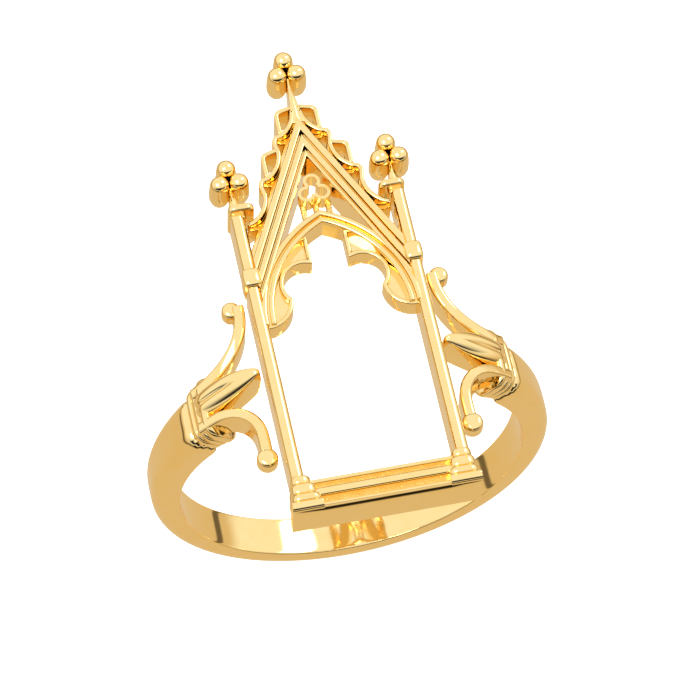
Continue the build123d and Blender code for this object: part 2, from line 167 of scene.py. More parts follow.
def quarter_corner(start: Point, corner: Point, radius: float, steps: int = 4) -> list[Point]:
    """The round of a corner where a nearly level line turns straight down.

    Args:
        start: where the line comes from.
        corner: where the two runs would meet.
        radius: the round's radius.
        steps: how many steps it takes.

    Returns:
        The places along the round.
    """
    back = (Vector(start) - Vector(corner)).normalized() * radius
    first, last = Vector(corner) + back, Vector(corner) + Vector((0, -radius))
    belly = (Vector(corner) + (first + last) / 2) / 2
    return Arc(tuple(first), tuple(belly), tuple(last)).places(steps)


# ---------------------------------------------------------------- selection tests
def runs(edge: bmesh.types.BMEdge, axis: int) -> bool:
    """Whether an edge lies along one axis."""
    span = edge.verts[1].co - edge.verts[0].co
    return span.length > 1e-6 and abs(span[axis]) > 0.98 * span.length


def middle(item: object) -> Vector:
    """Centre of a vertex, edge or face.

    Args:
        item: a vertex, edge or face.

    Returns:
        Its centre.
    """
    if isinstance(item, bmesh.types.BMVert):
        return item.co
    if isinstance(item, bmesh.types.BMFace):
        return item.calc_center_median()
    return (item.verts[0].co + item.verts[1].co) / 2


def faces_towards(face: bmesh.types.BMFace, direction: Sequence[float], cosine: float = 0.9) -> bool:
    """Whether a face's normal points along a direction."""
    return face.normal.dot(Vector(direction)) > cosine


class Bench:
    """The moves that every piece is shaped with, in millimetres."""

    strip_steps: int = 10               # between two points of a strip's line
    strip_crease: float = 55.0          # degrees; a strip's sharper edges are its rims

    @staticmethod
    def clear() -> None:
        """Leaves edit mode and deselects everything."""
        if bpy.context.object and bpy.context.object.mode != "OBJECT":
            bpy.ops.object.mode_set(mode="OBJECT")
        bpy.ops.object.select_all(action="DESELECT")

    @classmethod
    def take(cls, *pieces: bpy.types.Object) -> None:
        """Selects these pieces alone; the first becomes the active one.

        Args:
            *pieces: what to select.
        """
        cls.clear()
        for piece in pieces:
            piece.select_set(True)
        bpy.context.view_layer.objects.active = pieces[0]

    @classmethod
    def adopt(cls, name: str) -> bpy.types.Object:
        """Names the primitive just added and settles its place into its mesh.

        Args:
            name: the piece's new name.

        Returns:
            The piece.
        """
        piece = bpy.context.object
        piece.name = name
        piece.data.name = name
        bpy.ops.object.transform_apply(location=True, rotation=True, scale=True)
        return piece

    @classmethod
    def block(cls, name: str, low: Sequence[float], high: Sequence[float]) -> bpy.types.Object:
        """Adds a block between two corners.

        Args:
            name: the piece's name.
            low: its lowest corner.
            high: its highest corner.

        Returns:
            The new piece.
        """
        cls.clear()
        low, high = Vector(low), Vector(high)
        bpy.ops.mesh.primitive_cube_add(size=1, location=(low + high) / 2, scale=high - low)
        return cls.adopt(name)

    @classmethod
    def drum(cls, name: str, centre: Sequence[float], radius: float, depth: float,
             sides: int = 48) -> bpy.types.Object:
        """Adds a cylinder standing along Z, centred on a point.

        Args:
            name: the piece's name.
            centre: its middle.
            radius: its radius.
            depth: its length along Z.
            sides: how many flat sides stand for its round.

        Returns:
            The new piece.
        """
        cls.clear()
        bpy.ops.mesh.primitive_cylinder_add(vertices=sides, radius=radius, depth=depth, location=centre)
        return cls.adopt(name)

    @classmethod
    def section(cls, name: str, low: Point, high: Point, level: float, upright: int) -> bpy.types.Object:
        """Adds a one-face section that stands square to an axis.

        Args:
            name: the piece's name.
            low: its lowest corner, across and along Z.
            high: its highest corner, across and along Z.
            level: its place along the upright axis.
            upright: the axis that it stands square to.

        Returns:
            The section.
        """
        cls.clear()
        across = X if upright == Y else Y
        centre = Vector()
        centre[across], centre[Z], centre[upright] = (low[0] + high[0]) / 2, (low[1] + high[1]) / 2, level
        turn = (math.pi / 2, 0, 0) if upright == Y else (math.pi / 2, 0, math.pi / 2)
        bpy.ops.mesh.primitive_plane_add(size=1, location=centre, rotation=turn)
        piece = bpy.context.object
        piece.scale = (high[0] - low[0], high[1] - low[1], 1)
        return cls.adopt(name)

    @staticmethod
    @contextmanager
    def shaping(piece: bpy.types.Object) -> Iterator[None]:
        """Edit mode on one piece, for the length of a with block.

        Args:
            piece: the piece to shape.

        Yields:
            Nothing; the piece is in edit mode meanwhile.
        """
        Bench.take(piece)
        bpy.ops.object.mode_set(mode="EDIT")
        bpy.ops.mesh.select_mode(type=Kind.VERT.value)
        yield
        bpy.ops.object.mode_set(mode="OBJECT")

    @staticmethod
    def pick(piece: bpy.types.Object, kind: Kind, test: Test) -> int:
        """Selects the vertices, edges or faces that pass a test, and nothing else.

        Args:
            piece: the piece in edit mode.
            kind: what to select.
            test: says whether an element is wanted.

        Returns:
            How many were selected.
        """
        bpy.ops.mesh.select_mode(type=kind.value)
        bpy.ops.mesh.select_all(action="DESELECT")
        mesh = bmesh.from_edit_mesh(piece.data)
        mesh.normal_update()
        found = {Kind.VERT: mesh.verts, Kind.EDGE: mesh.edges, Kind.FACE: mesh.faces}[kind]
        wanted = [item for item in found if test(item)]
        for item in wanted:
            item.select_set(True)
        mesh.select_flush_mode()
        bmesh.update_edit_mesh(piece.data)
        return len(wanted)

    @classmethod
    def round_edges(cls, piece: bpy.types.Object, test: Test, width: float, segments: int = 4) -> None:
        """Rounds the edges that pass a test."""
        if cls.pick(piece, Kind.EDGE, test):
            bpy.ops.mesh.bevel(offset=width, segments=segments, profile=0.5, affect="EDGES")

    @classmethod
    def push(cls, piece: bpy.types.Object, kind: Kind, test: Test, shift: Sequence[float]) -> None:
        """Moves what passes a test."""
        if cls.pick(piece, kind, test):
            bpy.ops.transform.translate(value=shift)

    @classmethod
    def draw_out(cls, piece: bpy.types.Object, kind: Kind, test: Test, shift: Sequence[float]) -> None:
        """Extrudes what passes a test."""
        if cls.pick(piece, kind, test):
            bpy.ops.mesh.extrude_region_move(TRANSFORM_OT_translate={"value": shift})

    @classmethod
    def score(cls, point: Sequence[float], normal: Sequence[float], drop_beyond: bool = False) -> None:
        """Cuts the whole piece along a plane, closing the cut where the far side is dropped.

        Args:
            point: a place on the plane.
            normal: the plane's normal.
            drop_beyond: whether what lies along the normal is cut away.
        """
        bpy.ops.mesh.select_all(action="SELECT")
        bpy.ops.mesh.bisect(plane_co=point, plane_no=normal, use_fill=drop_beyond, clear_outer=drop_beyond,
                            threshold=1e-4)

    @staticmethod
    def heal(piece: bpy.types.Object) -> None:
        """Merges doubled points and turns the faces outwards.

        Args:
            piece: the piece to clean.
        """
        with Bench.shaping(piece):
            bpy.ops.mesh.select_all(action="SELECT")
            bpy.ops.mesh.remove_doubles(threshold=MERGE)
            bpy.ops.mesh.normals_make_consistent(inside=False)

    @staticmethod
    def modify(piece: bpy.types.Object, kind: str, **settings: object) -> None:
        """Adds a modifier, sets it and applies it.

        Args:
            piece: the piece to shape.
            kind: the modifier's type.
            **settings: its values by name.
        """
        Bench.take(piece)
        modifier = piece.modifiers.new(kind.title(), kind)
        for name, value in settings.items():
            setattr(modifier, name, value)
        bpy.ops.object.modifier_apply(modifier=modifier.name)

    @staticmethod
    def join(pieces: Sequence[bpy.types.Object]) -> bpy.types.Object:
        """Joins pieces into the first of them.

        Args:
            pieces: what to join.

        Returns:
            The first piece, which now holds them all.
        """
        Bench.take(*pieces)
        bpy.ops.object.join()
        return pieces[0]

    @classmethod
    def strip(cls, name: str, line: Sequence[tuple[Sequence[float], Turn]], width: float, depth: float,
              rounding: float) -> bpy.types.Object:
        """Makes an upright strip along a line, its rims rounded.

        Args:
            name: the piece's name.
            line: the points of its front's middle line, in millimetres, and how it turns at each.
            width: the strip's width.
            depth: how far it goes back along Z.
            rounding: radius of its rims.

        Returns:
            The strip as a mesh piece.
        """
        cls.clear()
        bpy.ops.curve.primitive_bezier_curve_add()
        piece = bpy.context.object
        curve = piece.data
        curve.splines.clear()
        spline = curve.splines.new("BEZIER")
        spline.bezier_points.add(len(line) - 1)
        for knot, (place, turn) in zip(spline.bezier_points, line):
            knot.co = place
            knot.handle_left_type = knot.handle_right_type = turn.value
        curve.dimensions = "3D"
        curve.resolution_u = cls.strip_steps
        bpy.ops.object.convert(target="MESH")
        piece = cls.adopt(name)
        with cls.shaping(piece):
            bpy.ops.mesh.select_all(action="SELECT")
            bpy.ops.mesh.extrude_region_move(TRANSFORM_OT_translate={"value": (0, 0, -depth)})
        cls.modify(piece, "SOLIDIFY", thickness=width, offset=0, use_even_offset=True)
        cls.modify(piece, "BEVEL", width=rounding, segments=4, limit_method="ANGLE",
                   angle_limit=math.radians(cls.strip_crease), use_clamp_overlap=False)
        return piece

    @staticmethod
    def twin(piece: bpy.types.Object, name: str) -> bpy.types.Object:
        """Copies a piece across the ring's middle plane.

        Args:
            piece: the right-hand piece.
            name: the copy's name.

        Returns:
            The mirrored copy.
        """
        Bench.take(piece)
        bpy.ops.object.duplicate()
        copy = bpy.context.object
        copy.name = name
        copy.data.name = name
        copy.scale = (-1, 1, 1)
        bpy.ops.object.transform_apply(scale=True)
        return copy


@dataclass(frozen=True)
class Space:
    """The box that a frame node fills, in millimetres."""

    low: Vector
    high: Vector

    @classmethod
    def of(cls, node: str) -> "Space":
        """The space of one node, read from the frame."""
        low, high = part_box(node)
        return cls(low / MM, high / MM)

    @property
    def centre(self) -> Vector:
        """Middle of the space."""
        return (self.low + self.high) / 2

    @property
    def size(self) -> Vector:
        """Its extent along each axis."""
        return self.high - self.low


# ---------------------------------------------------------------- finishes
def socket(node: bpy.types.Node, name: str, value: object) -> None:
    """Sets one input of a node to a fixed value."""
    node.inputs[name].default_value = value


def surface_group() -> bpy.types.NodeTree:
    """Builds the group that every finish shares: polishing rub, casting grain and their height.

    Returns:
        A group with inputs Vector, Grain Size and Rub Size, and outputs Rub, Grain and Height.
    """
    tree = bpy.data.node_groups.new("gold_surface", "ShaderNodeTree")
    face = tree.interface
    face.new_socket("Vector", in_out="INPUT", socket_type="NodeSocketVector")
    for name, start in (("Grain Size", 16.0), ("Rub Size", 1.1)):
        face.new_socket(name, in_out="INPUT", socket_type="NodeSocketFloat").default_value = start
    for name in ("Rub", "Grain", "Height"):
        face.new_socket(name, in_out="OUTPUT", socket_type="NodeSocketFloat")
    inside, outside = tree.nodes.new("NodeGroupInput"), tree.nodes.new("NodeGroupOutput")

    rub = tree.nodes.new("ShaderNodeTexNoise")
    socket(rub, "Detail", 4.0)
    socket(rub, "Roughness", 0.62)
    grain = tree.nodes.new("ShaderNodeTexNoise")
    socket(grain, "Detail", 3.0)
    hair = tree.nodes.new("ShaderNodeTexWave")
    hair.wave_type = "BANDS"
    hair.bands_direction = "DIAGONAL"
    socket(hair, "Distortion", 9.0)
    socket(hair, "Detail", 3.0)
    socket(hair, "Detail Scale", 2.0)
    hair_size = tree.nodes.new("ShaderNodeMath")
    hair_size.operation = "MULTIPLY"
    hair_size.inputs[1].default_value = 0.35
    rub_range = tree.nodes.new("ShaderNodeMapRange")
    socket(rub_range, "From Min", 0.35)
    socket(rub_range, "From Max", 0.68)
    height = tree.nodes.new("ShaderNodeMath")
    height.operation = "MULTIPLY_ADD"
    height.inputs[1].default_value = 0.25

    link = tree.links.new
    link(inside.outputs["Vector"], rub.inputs["Vector"])
    link(inside.outputs["Vector"], grain.inputs["Vector"])
    link(inside.outputs["Vector"], hair.inputs["Vector"])
    link(inside.outputs["Rub Size"], rub.inputs["Scale"])
    link(inside.outputs["Grain Size"], grain.inputs["Scale"])
    link(inside.outputs["Grain Size"], hair_size.inputs[0])
    link(hair_size.outputs[0], hair.inputs["Scale"])
    link(rub.outputs["Fac"], rub_range.inputs["Value"])
    link(hair.outputs["Fac"], height.inputs[0])
    link(grain.outputs["Fac"], height.inputs[2])
    link(rub_range.outputs["Result"], outside.inputs["Rub"])
    link(grain.outputs["Fac"], outside.inputs["Grain"])
    link(height.outputs[0], outside.inputs["Height"])
    return tree


@dataclass(frozen=True)
class GoldFinish:
    """One finish of the same yellow gold."""

    name: str
    bright: tuple[float, float, float] = (1.0, 0.768, 0.352)
    deep: tuple[float, float, float] = (1.0, 0.735, 0.300)
    smoothest: float = 0.035
    roughest: float = 0.085
    grain_size: float = 16.0
    rub_size: float = 1.1
    grain_depth: float = 0.012          # bump strength
    grain_height: float = 0.00002       # metres

    def make(self, group: bpy.types.NodeTree) -> bpy.types.Material:
        """Builds the material.

        Args:
            group: the shared surface group.

        Returns:
            The finished material.
        """
        material = bpy.data.materials.new(self.name)
        material.use_nodes = True
        material.diffuse_color = (*self.bright, 1)
        tree = material.node_tree
        link = tree.links.new
        shader = tree.nodes["Principled BSDF"]
        socket(shader, "Metallic", 1.0)
        place = tree.nodes.new("ShaderNodeTexCoord")
        to_mm = tree.nodes.new("ShaderNodeMapping")
        socket(to_mm, "Scale", (1 / MM, 1 / MM, 1 / MM))
        surface = tree.nodes.new("ShaderNodeGroup")
        surface.node_tree = group
        socket(surface, "Grain Size", self.grain_size)
        socket(surface, "Rub Size", self.rub_size)
        colour = tree.nodes.new("ShaderNodeMix")
        colour.data_type = "RGBA"
        colour.inputs[6].default_value = (*self.bright, 1)
        colour.inputs[7].default_value = (*self.deep, 1)
        rough = tree.nodes.new("ShaderNodeMapRange")
        socket(rough, "To Min", self.smoothest)
        socket(rough, "To Max", self.roughest)
        bump = tree.nodes.new("ShaderNodeBump")
        socket(bump, "Strength", self.grain_depth)
        socket(bump, "Distance", self.grain_height)
        link(place.outputs["Object"], to_mm.inputs["Vector"])
        link(to_mm.outputs["Vector"], surface.inputs["Vector"])
        link(surface.outputs["Rub"], colour.inputs[0])
        link(colour.outputs[2], shader.inputs["Base Color"])
        link(surface.outputs["Rub"], rough.inputs["Value"])
        link(rough.outputs["Result"], shader.inputs["Roughness"])
        link(surface.outputs["Height"], bump.inputs["Height"])
        link(bump.outputs["Normal"], shader.inputs["Normal"])
        return material


class Finishes:
    """The gold finishes of this ring, made once."""

    def __init__(self) -> None:
        """Builds every finish around the shared group."""
        group = surface_group()
        self.mirror = GoldFinish("mirror_gold").make(group)
        self.bright = GoldFinish("bright_cut_gold", roughest=0.1, rub_size=2.2, grain_depth=0.03).make(group)
        # the cast finish is rougher and grainier, and its darker, more orange colour is painted shade for the
        # sill's groove bed and the trefoil's brackets
        cast = GoldFinish("cast_gold_painted_shade", deep=(0.98, 0.66, 0.21), smoothest=0.09, roughest=0.2, grain_size=9.0,
                          rub_size=3.0, grain_depth=0.3, grain_height=0.00006)
        self.cast = cast.make(group)


class Handover:
    """Brings finished pieces from the bench to the frame."""

    def __init__(self, finishes: Finishes) -> None:
        """Keeps the finishes that pieces are dressed with."""
        self.finishes = finishes
        self.count = 0

    def give(self, piece: bpy.types.Object, node: str, finish: bpy.types.Material,
             crease: float = 38.0, flats: bool = True) -> None:
        """Scales a piece to metres, smooths, dresses and hands it over for one frame node.

        Args:
            piece: the finished piece, in millimetres.
            node: the frame node that it stands for.
            finish: its material; kept if the piece has materials already.
            crease: edges sharper than this many degrees stay crisp.
            flats: whether broad flat faces rule the shading of their neighbours.
        """
        Bench.heal(piece)
        Bench.take(piece)
        piece.scale = (MM, MM, MM)
        bpy.ops.object.transform_apply(scale=True)
        bpy.ops.object.shade_smooth_by_angle(angle=math.radians(crease))
        if flats:
            Bench.modify(piece, "WEIGHTED_NORMAL", keep_sharp=True, weight=60)
        if not piece.data.materials:
            piece.data.materials.append(finish)
        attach(piece, BODY)
        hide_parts(node)
        self.count += 1
        log.info("%s stands for %s: %d faces", piece.name, node, len(piece.data.polygons))

    def give_pair(self, piece: bpy.types.Object, stem: str, finish: bpy.types.Material,
                  crease: float = 38.0, flats: bool = True) -> None:
        """Hands over a right-hand piece and its mirrored twin for the nodes right_stem and left_stem.

        Args:
            piece: the right-hand piece, in millimetres.
            stem: the nodes' name after right_ or left_.
            finish: the material.
            crease: edges sharper than this many degrees stay crisp.
            flats: whether broad flat faces rule the shading of their neighbours.
        """
        piece.name = f"gold_right_{stem}"
        other = Bench.twin(piece, f"gold_left_{stem}")
        self.give(piece, f"right_{stem}", finish, crease, flats)
        self.give(other, f"left_{stem}", finish, crease, flats)


# ---------------------------------------------------------------- shank and bindings
@dataclass
class Band:
    """The shank and the cinctures that bind its shoulders to the head."""

    hand: Handover
    finger: float = 8.65
    palm_width: float = 2.05
    palm_thickness: float = 1.25
    shoulder_growth: float = 1.4        # the section's size at the shoulder, against the palm
    half_turn: float = 130.1            # degrees from the palm to where the bindings start
    steps: int = 26
    section_corner: float = 0.62
    section_inner_corner: float = 0.09
    # each cincture: name, where it starts and the arc it takes, in degrees, outer radius and width
    cinctures: tuple = (("upper", 137.7, 3.0, 10.68, 3.34), ("middle", 134.7, 2.3, 10.56, 3.2),
                        ("lower", 132.4, 2.3, 10.5, 3.1))
    cincture_corner: float = 0.8
    cincture_inner_corner: float = 0.6
    # round each cincture: share of its arc, and its size there
    cincture_swell: tuple = ((0, 0.93), (0.12, 0.985), (0.5, 1.005), (0.88, 0.985), (1, 0.93))

    def sweep(self, piece: bpy.types.Object, stations: Sequence[Point]) -> None:
        """Draws a section round the finger.

        Args:
            piece: the section, standing at the first station; its faces are extruded.
            stations: each stop's angle from the palm in degrees, and its size against the first.
        """
        with Bench.shaping(piece):
            bpy.ops.mesh.select_all(action="SELECT")
            for (before, size_before), (after, size_after) in zip(stations, stations[1:]):
                step = math.radians(after - before)
                bpy.ops.mesh.extrude_region_move(TRANSFORM_OT_translate={"value": (0, 0, 0)})
                bpy.ops.transform.rotate(value=step, orient_axis="Y", center_override=(0, 0, 0))
                growth = size_after / size_before
                inner = (self.finger * math.sin(math.radians(after)), 0,
                         -self.finger * math.cos(math.radians(after)))
                bpy.ops.transform.resize(value=(growth,) * 3, center_override=inner)

    def make_section(self, name: str, width: float, outer: float, corner: float,
                     inner_corner: float) -> bpy.types.Object:
        """Makes the band's section at the palm: flat inside, rounded outside.

        Args:
            name: the piece's name.
            width: its width along the finger.
            outer: radius of its outside.
            corner: rounding of its outer corners.
            inner_corner: rounding of its inner corners.

        Returns:
            The section, one face.
        """
        half = width / 2
        piece = Bench.section(name, (-half, -outer), (half, -self.finger), 0, upright=X)
        with Bench.shaping(piece):
            Bench.pick(piece, Kind.VERT, lambda vert: vert.co.z < -self.finger - 0.1)
            bpy.ops.mesh.bevel(offset=corner, segments=5, profile=0.5, affect="VERTICES")
            Bench.pick(piece, Kind.VERT, lambda vert: vert.co.z > -self.finger - 0.01)
            bpy.ops.mesh.bevel(offset=inner_corner, segments=3, profile=0.5, affect="VERTICES")
        return piece

    def make_shank(self) -> None:
        """Shapes the whole shank from the palm up to both shoulders."""
        piece = self.make_section("gold_ring_shank", self.palm_width, self.finger + self.palm_thickness,
                                  self.section_corner, self.section_inner_corner)
        stations = []
        for step in range(self.steps + 1):
            share = step / self.steps
            stations.append((self.half_turn * share, 1 + (self.shoulder_growth - 1) * share ** 4))
        self.sweep(piece, stations)
        with Bench.shaping(piece):
            Bench.pick(piece, Kind.FACE, lambda face: all(abs(v.co.x) < MERGE and v.co.z < 0
                                                          for v in face.verts))
            bpy.ops.mesh.delete(type="FACE")
        Bench.modify(piece, "MIRROR", use_axis=(True, False, False), merge_threshold=0.002)
        Bench.heal(piece)
        Bench.modify(piece, "SUBSURF", levels=2, render_levels=2)
        self.hand.give(piece, "ring_shank", self.hand.finishes.mirror, crease=50, flats=False)

    def make_cinctures(self) -> None:
        """Shapes the three rounded rings of each binding."""
        for place, start, arc, radius, width in self.cinctures:
            piece = self.make_section(f"cincture_{place}", width, radius, self.cincture_corner,
                                      self.cincture_inner_corner)
            angle = math.radians(start)
            with Bench.shaping(piece):
                bpy.ops.mesh.select_all(action="SELECT")
                bpy.ops.transform.rotate(value=angle, orient_axis="Y", center_override=(0, 0, 0))
                inner = (self.finger * math.sin(angle), 0, -self.finger * math.cos(angle))
                bpy.ops.transform.resize(value=(self.cincture_swell[0][1],) * 3, center_override=inner)
            stations = [(start - arc * share, size) for share, size in self.cincture_swell]
            self.sweep(piece, stations)
            Bench.heal(piece)
            Bench.modify(piece, "SUBSURF", levels=2, render_levels=2)
            self.hand.give_pair(piece, f"binding_{place}", self.hand.finishes.mirror, crease=60, flats=False)

    def build(self) -> None:
        """Makes the shank and its bindings."""
        self.make_shank()
        self.make_cinctures()


# ---------------------------------------------------------------- columns, knops, bases, capitals
@dataclass
class Columns:
    """The shafts on both sides of the window, with their knops, bases and capitals."""

    hand: Handover
    shaft_round: float = 0.3
    shaft_back_round: float = 0.06
    shaft_overlap: float = 0.03         # how far a shaft runs into what is above and below it
    knop_round: float = 0.32
    tier_corner: float = 0.42
    tier_rim: float = 0.17
    tiers: tuple = (0.42, 0.56, 0.5)
    tier_insets: tuple = ((0.0, 0.0, 0.0), (0.15, 0.06, 0.08), (0.33, 0.14, 0.2))
    abacus_height: float = 0.38
    abacus_corner: float = 0.4
    abacus_rim: float = 0.14
    neck_spread: float = 0.13           # how far it stands out past the shaft
    neck_inset: float = 0.42            # how far it stays behind the abacus
    neck_overlap: float = 0.04
    neck_corner: float = 0.25
    neck_rim: float = 0.05

    def make_shafts(self) -> None:
        """Shapes the lower and the upper shaft: round-fronted bars."""
        for stem in ("column", "upper_shaft"):
            space = Space.of(f"right_{stem}")
            overlap = Vector((0, self.shaft_overlap, 0))
            piece = Bench.block(stem, space.low - overlap, space.high + overlap)
            with Bench.shaping(piece):
                Bench.round_edges(piece, lambda e: runs(e, Y) and middle(e).z > space.centre.z,
                                  self.shaft_round, 6)
                Bench.round_edges(piece, lambda e: runs(e, Y) and middle(e).z < space.low.z + 0.01,
                                  self.shaft_back_round, 3)
            self.hand.give_pair(piece, stem, self.hand.finishes.mirror)

    def make_knop(self) -> None:
        """Shapes a knop: a block swollen like a little cushion."""
        space = Space.of("right_knop")
        piece = Bench.block("knop", space.low, space.high)
        front = space.high.z - 0.01
        with Bench.shaping(piece):
            Bench.round_edges(piece, lambda e: middle(e).z > front or runs(e, Z), self.knop_round, 3)
        Bench.modify(piece, "SUBSURF", levels=2, render_levels=2)
        self.hand.give_pair(piece, "knop", self.hand.finishes.mirror, crease=60, flats=False)

    def cushion(self, name: str, low: Sequence[float], high: Sequence[float], corner: float,
                rim: float) -> bpy.types.Object:
        """A block rounded in plan at its front corners, then all round its front rims.

        Args:
            name: the piece's name.
            low: its lowest corner.
            high: its highest corner.
            corner: its rounding in plan.
            rim: rounding of its front rims.

        Returns:
            The block.
        """
        piece = Bench.block(name, low, high)
        back = low[Z] + 0.05
        with Bench.shaping(piece):
            Bench.round_edges(piece, lambda e: runs(e, Y) and middle(e).z > back, corner, 8)
            Bench.round_edges(piece, lambda e: not runs(e, Y) and max(v.co.z for v in e.verts) > back
                              and abs(e.verts[0].co.y - e.verts[1].co.y) < 1e-4, rim, 4)
        return piece

    def make_base(self) -> None:
        """Stacks the three rounded tiers under a column."""
        space = Space.of("right_column_base")
        bottom = space.low.y
        tiers = []
        for height, (inner, outer, front) in zip(self.tiers, self.tier_insets):
            low = (space.low.x + inner, bottom, space.low.z)
            high = (space.high.x - outer, bottom + height, space.high.z - front)
            tiers.append(self.cushion("tier", low, high, self.tier_corner, self.tier_rim))
            bottom += height
        self.hand.give_pair(Bench.join(tiers), "column_base", self.hand.finishes.mirror, crease=50)

    def make_capital(self) -> None:
        """Shapes a capital: a thin rounded abacus over a short neck."""
        space = Space.of("right_capital")
        shaft = Space.of("right_upper_shaft")
        abacus_foot = space.high.y - self.abacus_height
        abacus = self.cushion("abacus", (space.low.x, abacus_foot, space.low.z), space.high,
                              self.abacus_corner, self.abacus_rim)
        neck = self.cushion("neck", (shaft.low.x - self.neck_spread, space.low.y, space.low.z),
                            (shaft.high.x, abacus_foot + self.neck_overlap, space.high.z - self.neck_inset),
                            self.neck_corner, self.neck_rim)
        self.hand.give_pair(Bench.join([abacus, neck]), "capital", self.hand.finishes.mirror, crease=50)

    def build(self) -> None:
        """Makes every part of both columns."""
        self.make_shafts()
        self.make_knop()
        self.make_base()
        self.make_capital()


@dataclass
class Finials:
    """The bead clusters on the apex and the pinnacles, with the spikes that carry them."""

    hand: Handover
    radius: float = 0.475
    spread: float = 0.485
    rise: float = 0.83
    # down the body: share of the way back, and how much the section swells from the one before
    body: tuple = ((0.25, 1.07), (0.5, 1.03), (0.75, 0.98), (0.93, 0.86), (1.0, 0.9))
    back_rounding: float = 0.05
    # share of its width left at the tip, and how far its ridge stands proud
    spirelet: tuple[float, float] = (0.14, 0.2)
    spire: tuple[float, float] = (0.12, 0.12)
    spike_tip_depth: float = 0.9        # share of its depth left at the tip
    spike_rounding: float = 0.05

    def bead(self, centre: Vector, back: float) -> bpy.types.Object:
        """A round-nosed bead: a ball whose back half is drawn out along Z, full in the middle.

        Args:
            centre: centre of its nose's ball.
            back: its back's place along Z.

        Returns:
            The bead.
        """
        Bench.clear()
        bpy.ops.mesh.primitive_uv_sphere_add(segments=48, ring_count=32, radius=self.radius, location=centre)
        piece = Bench.adopt("bead")
        with Bench.shaping(piece):
            Bench.pick(piece, Kind.VERT, lambda v: v.co.z < centre.z - 0.01)
            bpy.ops.mesh.delete(type="VERT")
            for stop, swell in self.body:
                bpy.ops.mesh.select_mode(type="EDGE")
                last = min(v.co.z for v in bmesh.from_edit_mesh(piece.data).verts)
                goal = centre.z + (back - centre.z) * stop
                Bench.draw_out(piece, Kind.EDGE, lambda e: max(v.co.z for v in e.verts) < last + 0.001,
                               (0, 0, goal - last))
                bpy.ops.transform.resize(value=(swell, swell, 1), center_override=centre)
            bpy.ops.mesh.edge_face_add()
            bpy.ops.mesh.bevel(offset=self.back_rounding, segments=3, affect="EDGES")
        return piece

    def cluster(self, node: str, name: str) -> None:
        """Two beads side by side with a third above and between them.

        Args:
            node: the frame node that it stands for.
            name: the piece's name.
        """
        space = Space.of(node)
        low_row = space.low.y + self.radius
        nose = space.high.z - self.radius
        places = ((0, low_row + self.rise), (-self.spread, low_row), (self.spread, low_row))
        beads = [self.bead(Vector((space.centre.x + x, y, nose)), space.low.z) for x, y in places]
        beads[0].name = name
        self.hand.give(Bench.join(beads), node, self.hand.finishes.mirror, crease=50, flats=False)

    def spike(self, node: str, tip_width: float, ridge: float) -> bpy.types.Object:
        """A tapering spike with a soft ridge down its front.

        Args:
            node: the frame node whose space it fills.
            tip_width: share of its width left at the tip.
            ridge: how far its ridge stands proud.

        Returns:
            The spike.
        """
        space = Space.of(node)
        low, high = space.low.copy(), space.high.copy()
        high.z -= ridge
        piece = Bench.block(node, low, high)
        centre_x = space.centre.x
        with Bench.shaping(piece):
            Bench.score((centre_x, 0, 0), (1, 0, 0))
            Bench.push(piece, Kind.VERT, lambda v: abs(v.co.x - centre_x) < 0.01
                       and v.co.z > high.z - 0.01, (0, 0, ridge))
            Bench.pick(piece, Kind.VERT, lambda v: v.co.y > high.y - 0.01)
            bpy.ops.transform.resize(value=(tip_width, 1, self.spike_tip_depth),
                                     center_override=(centre_x, high.y, low.z))
            Bench.round_edges(piece, lambda e: middle(e).z > low.z + 0.2, self.spike_rounding, 3)
        return piece

    def build(self) -> None:
        """Makes the three clusters, the spirelets and the apex spire."""
        self.cluster("apex_beads", "gold_apex_beads")
        self.cluster("right_pinnacle_beads", "gold_right_pinnacle_beads")
        self.cluster("left_pinnacle_beads", "gold_left_pinnacle_beads")
        spirelet = self.spike("right_spirelet", *self.spirelet)
        self.hand.give_pair(spirelet, "spirelet", self.hand.finishes.bright)
        spire = self.spike("apex_spire", *self.spire)
        spire.name = "gold_apex_spire"
        self.hand.give(spire, "apex_spire", self.hand.finishes.bright)


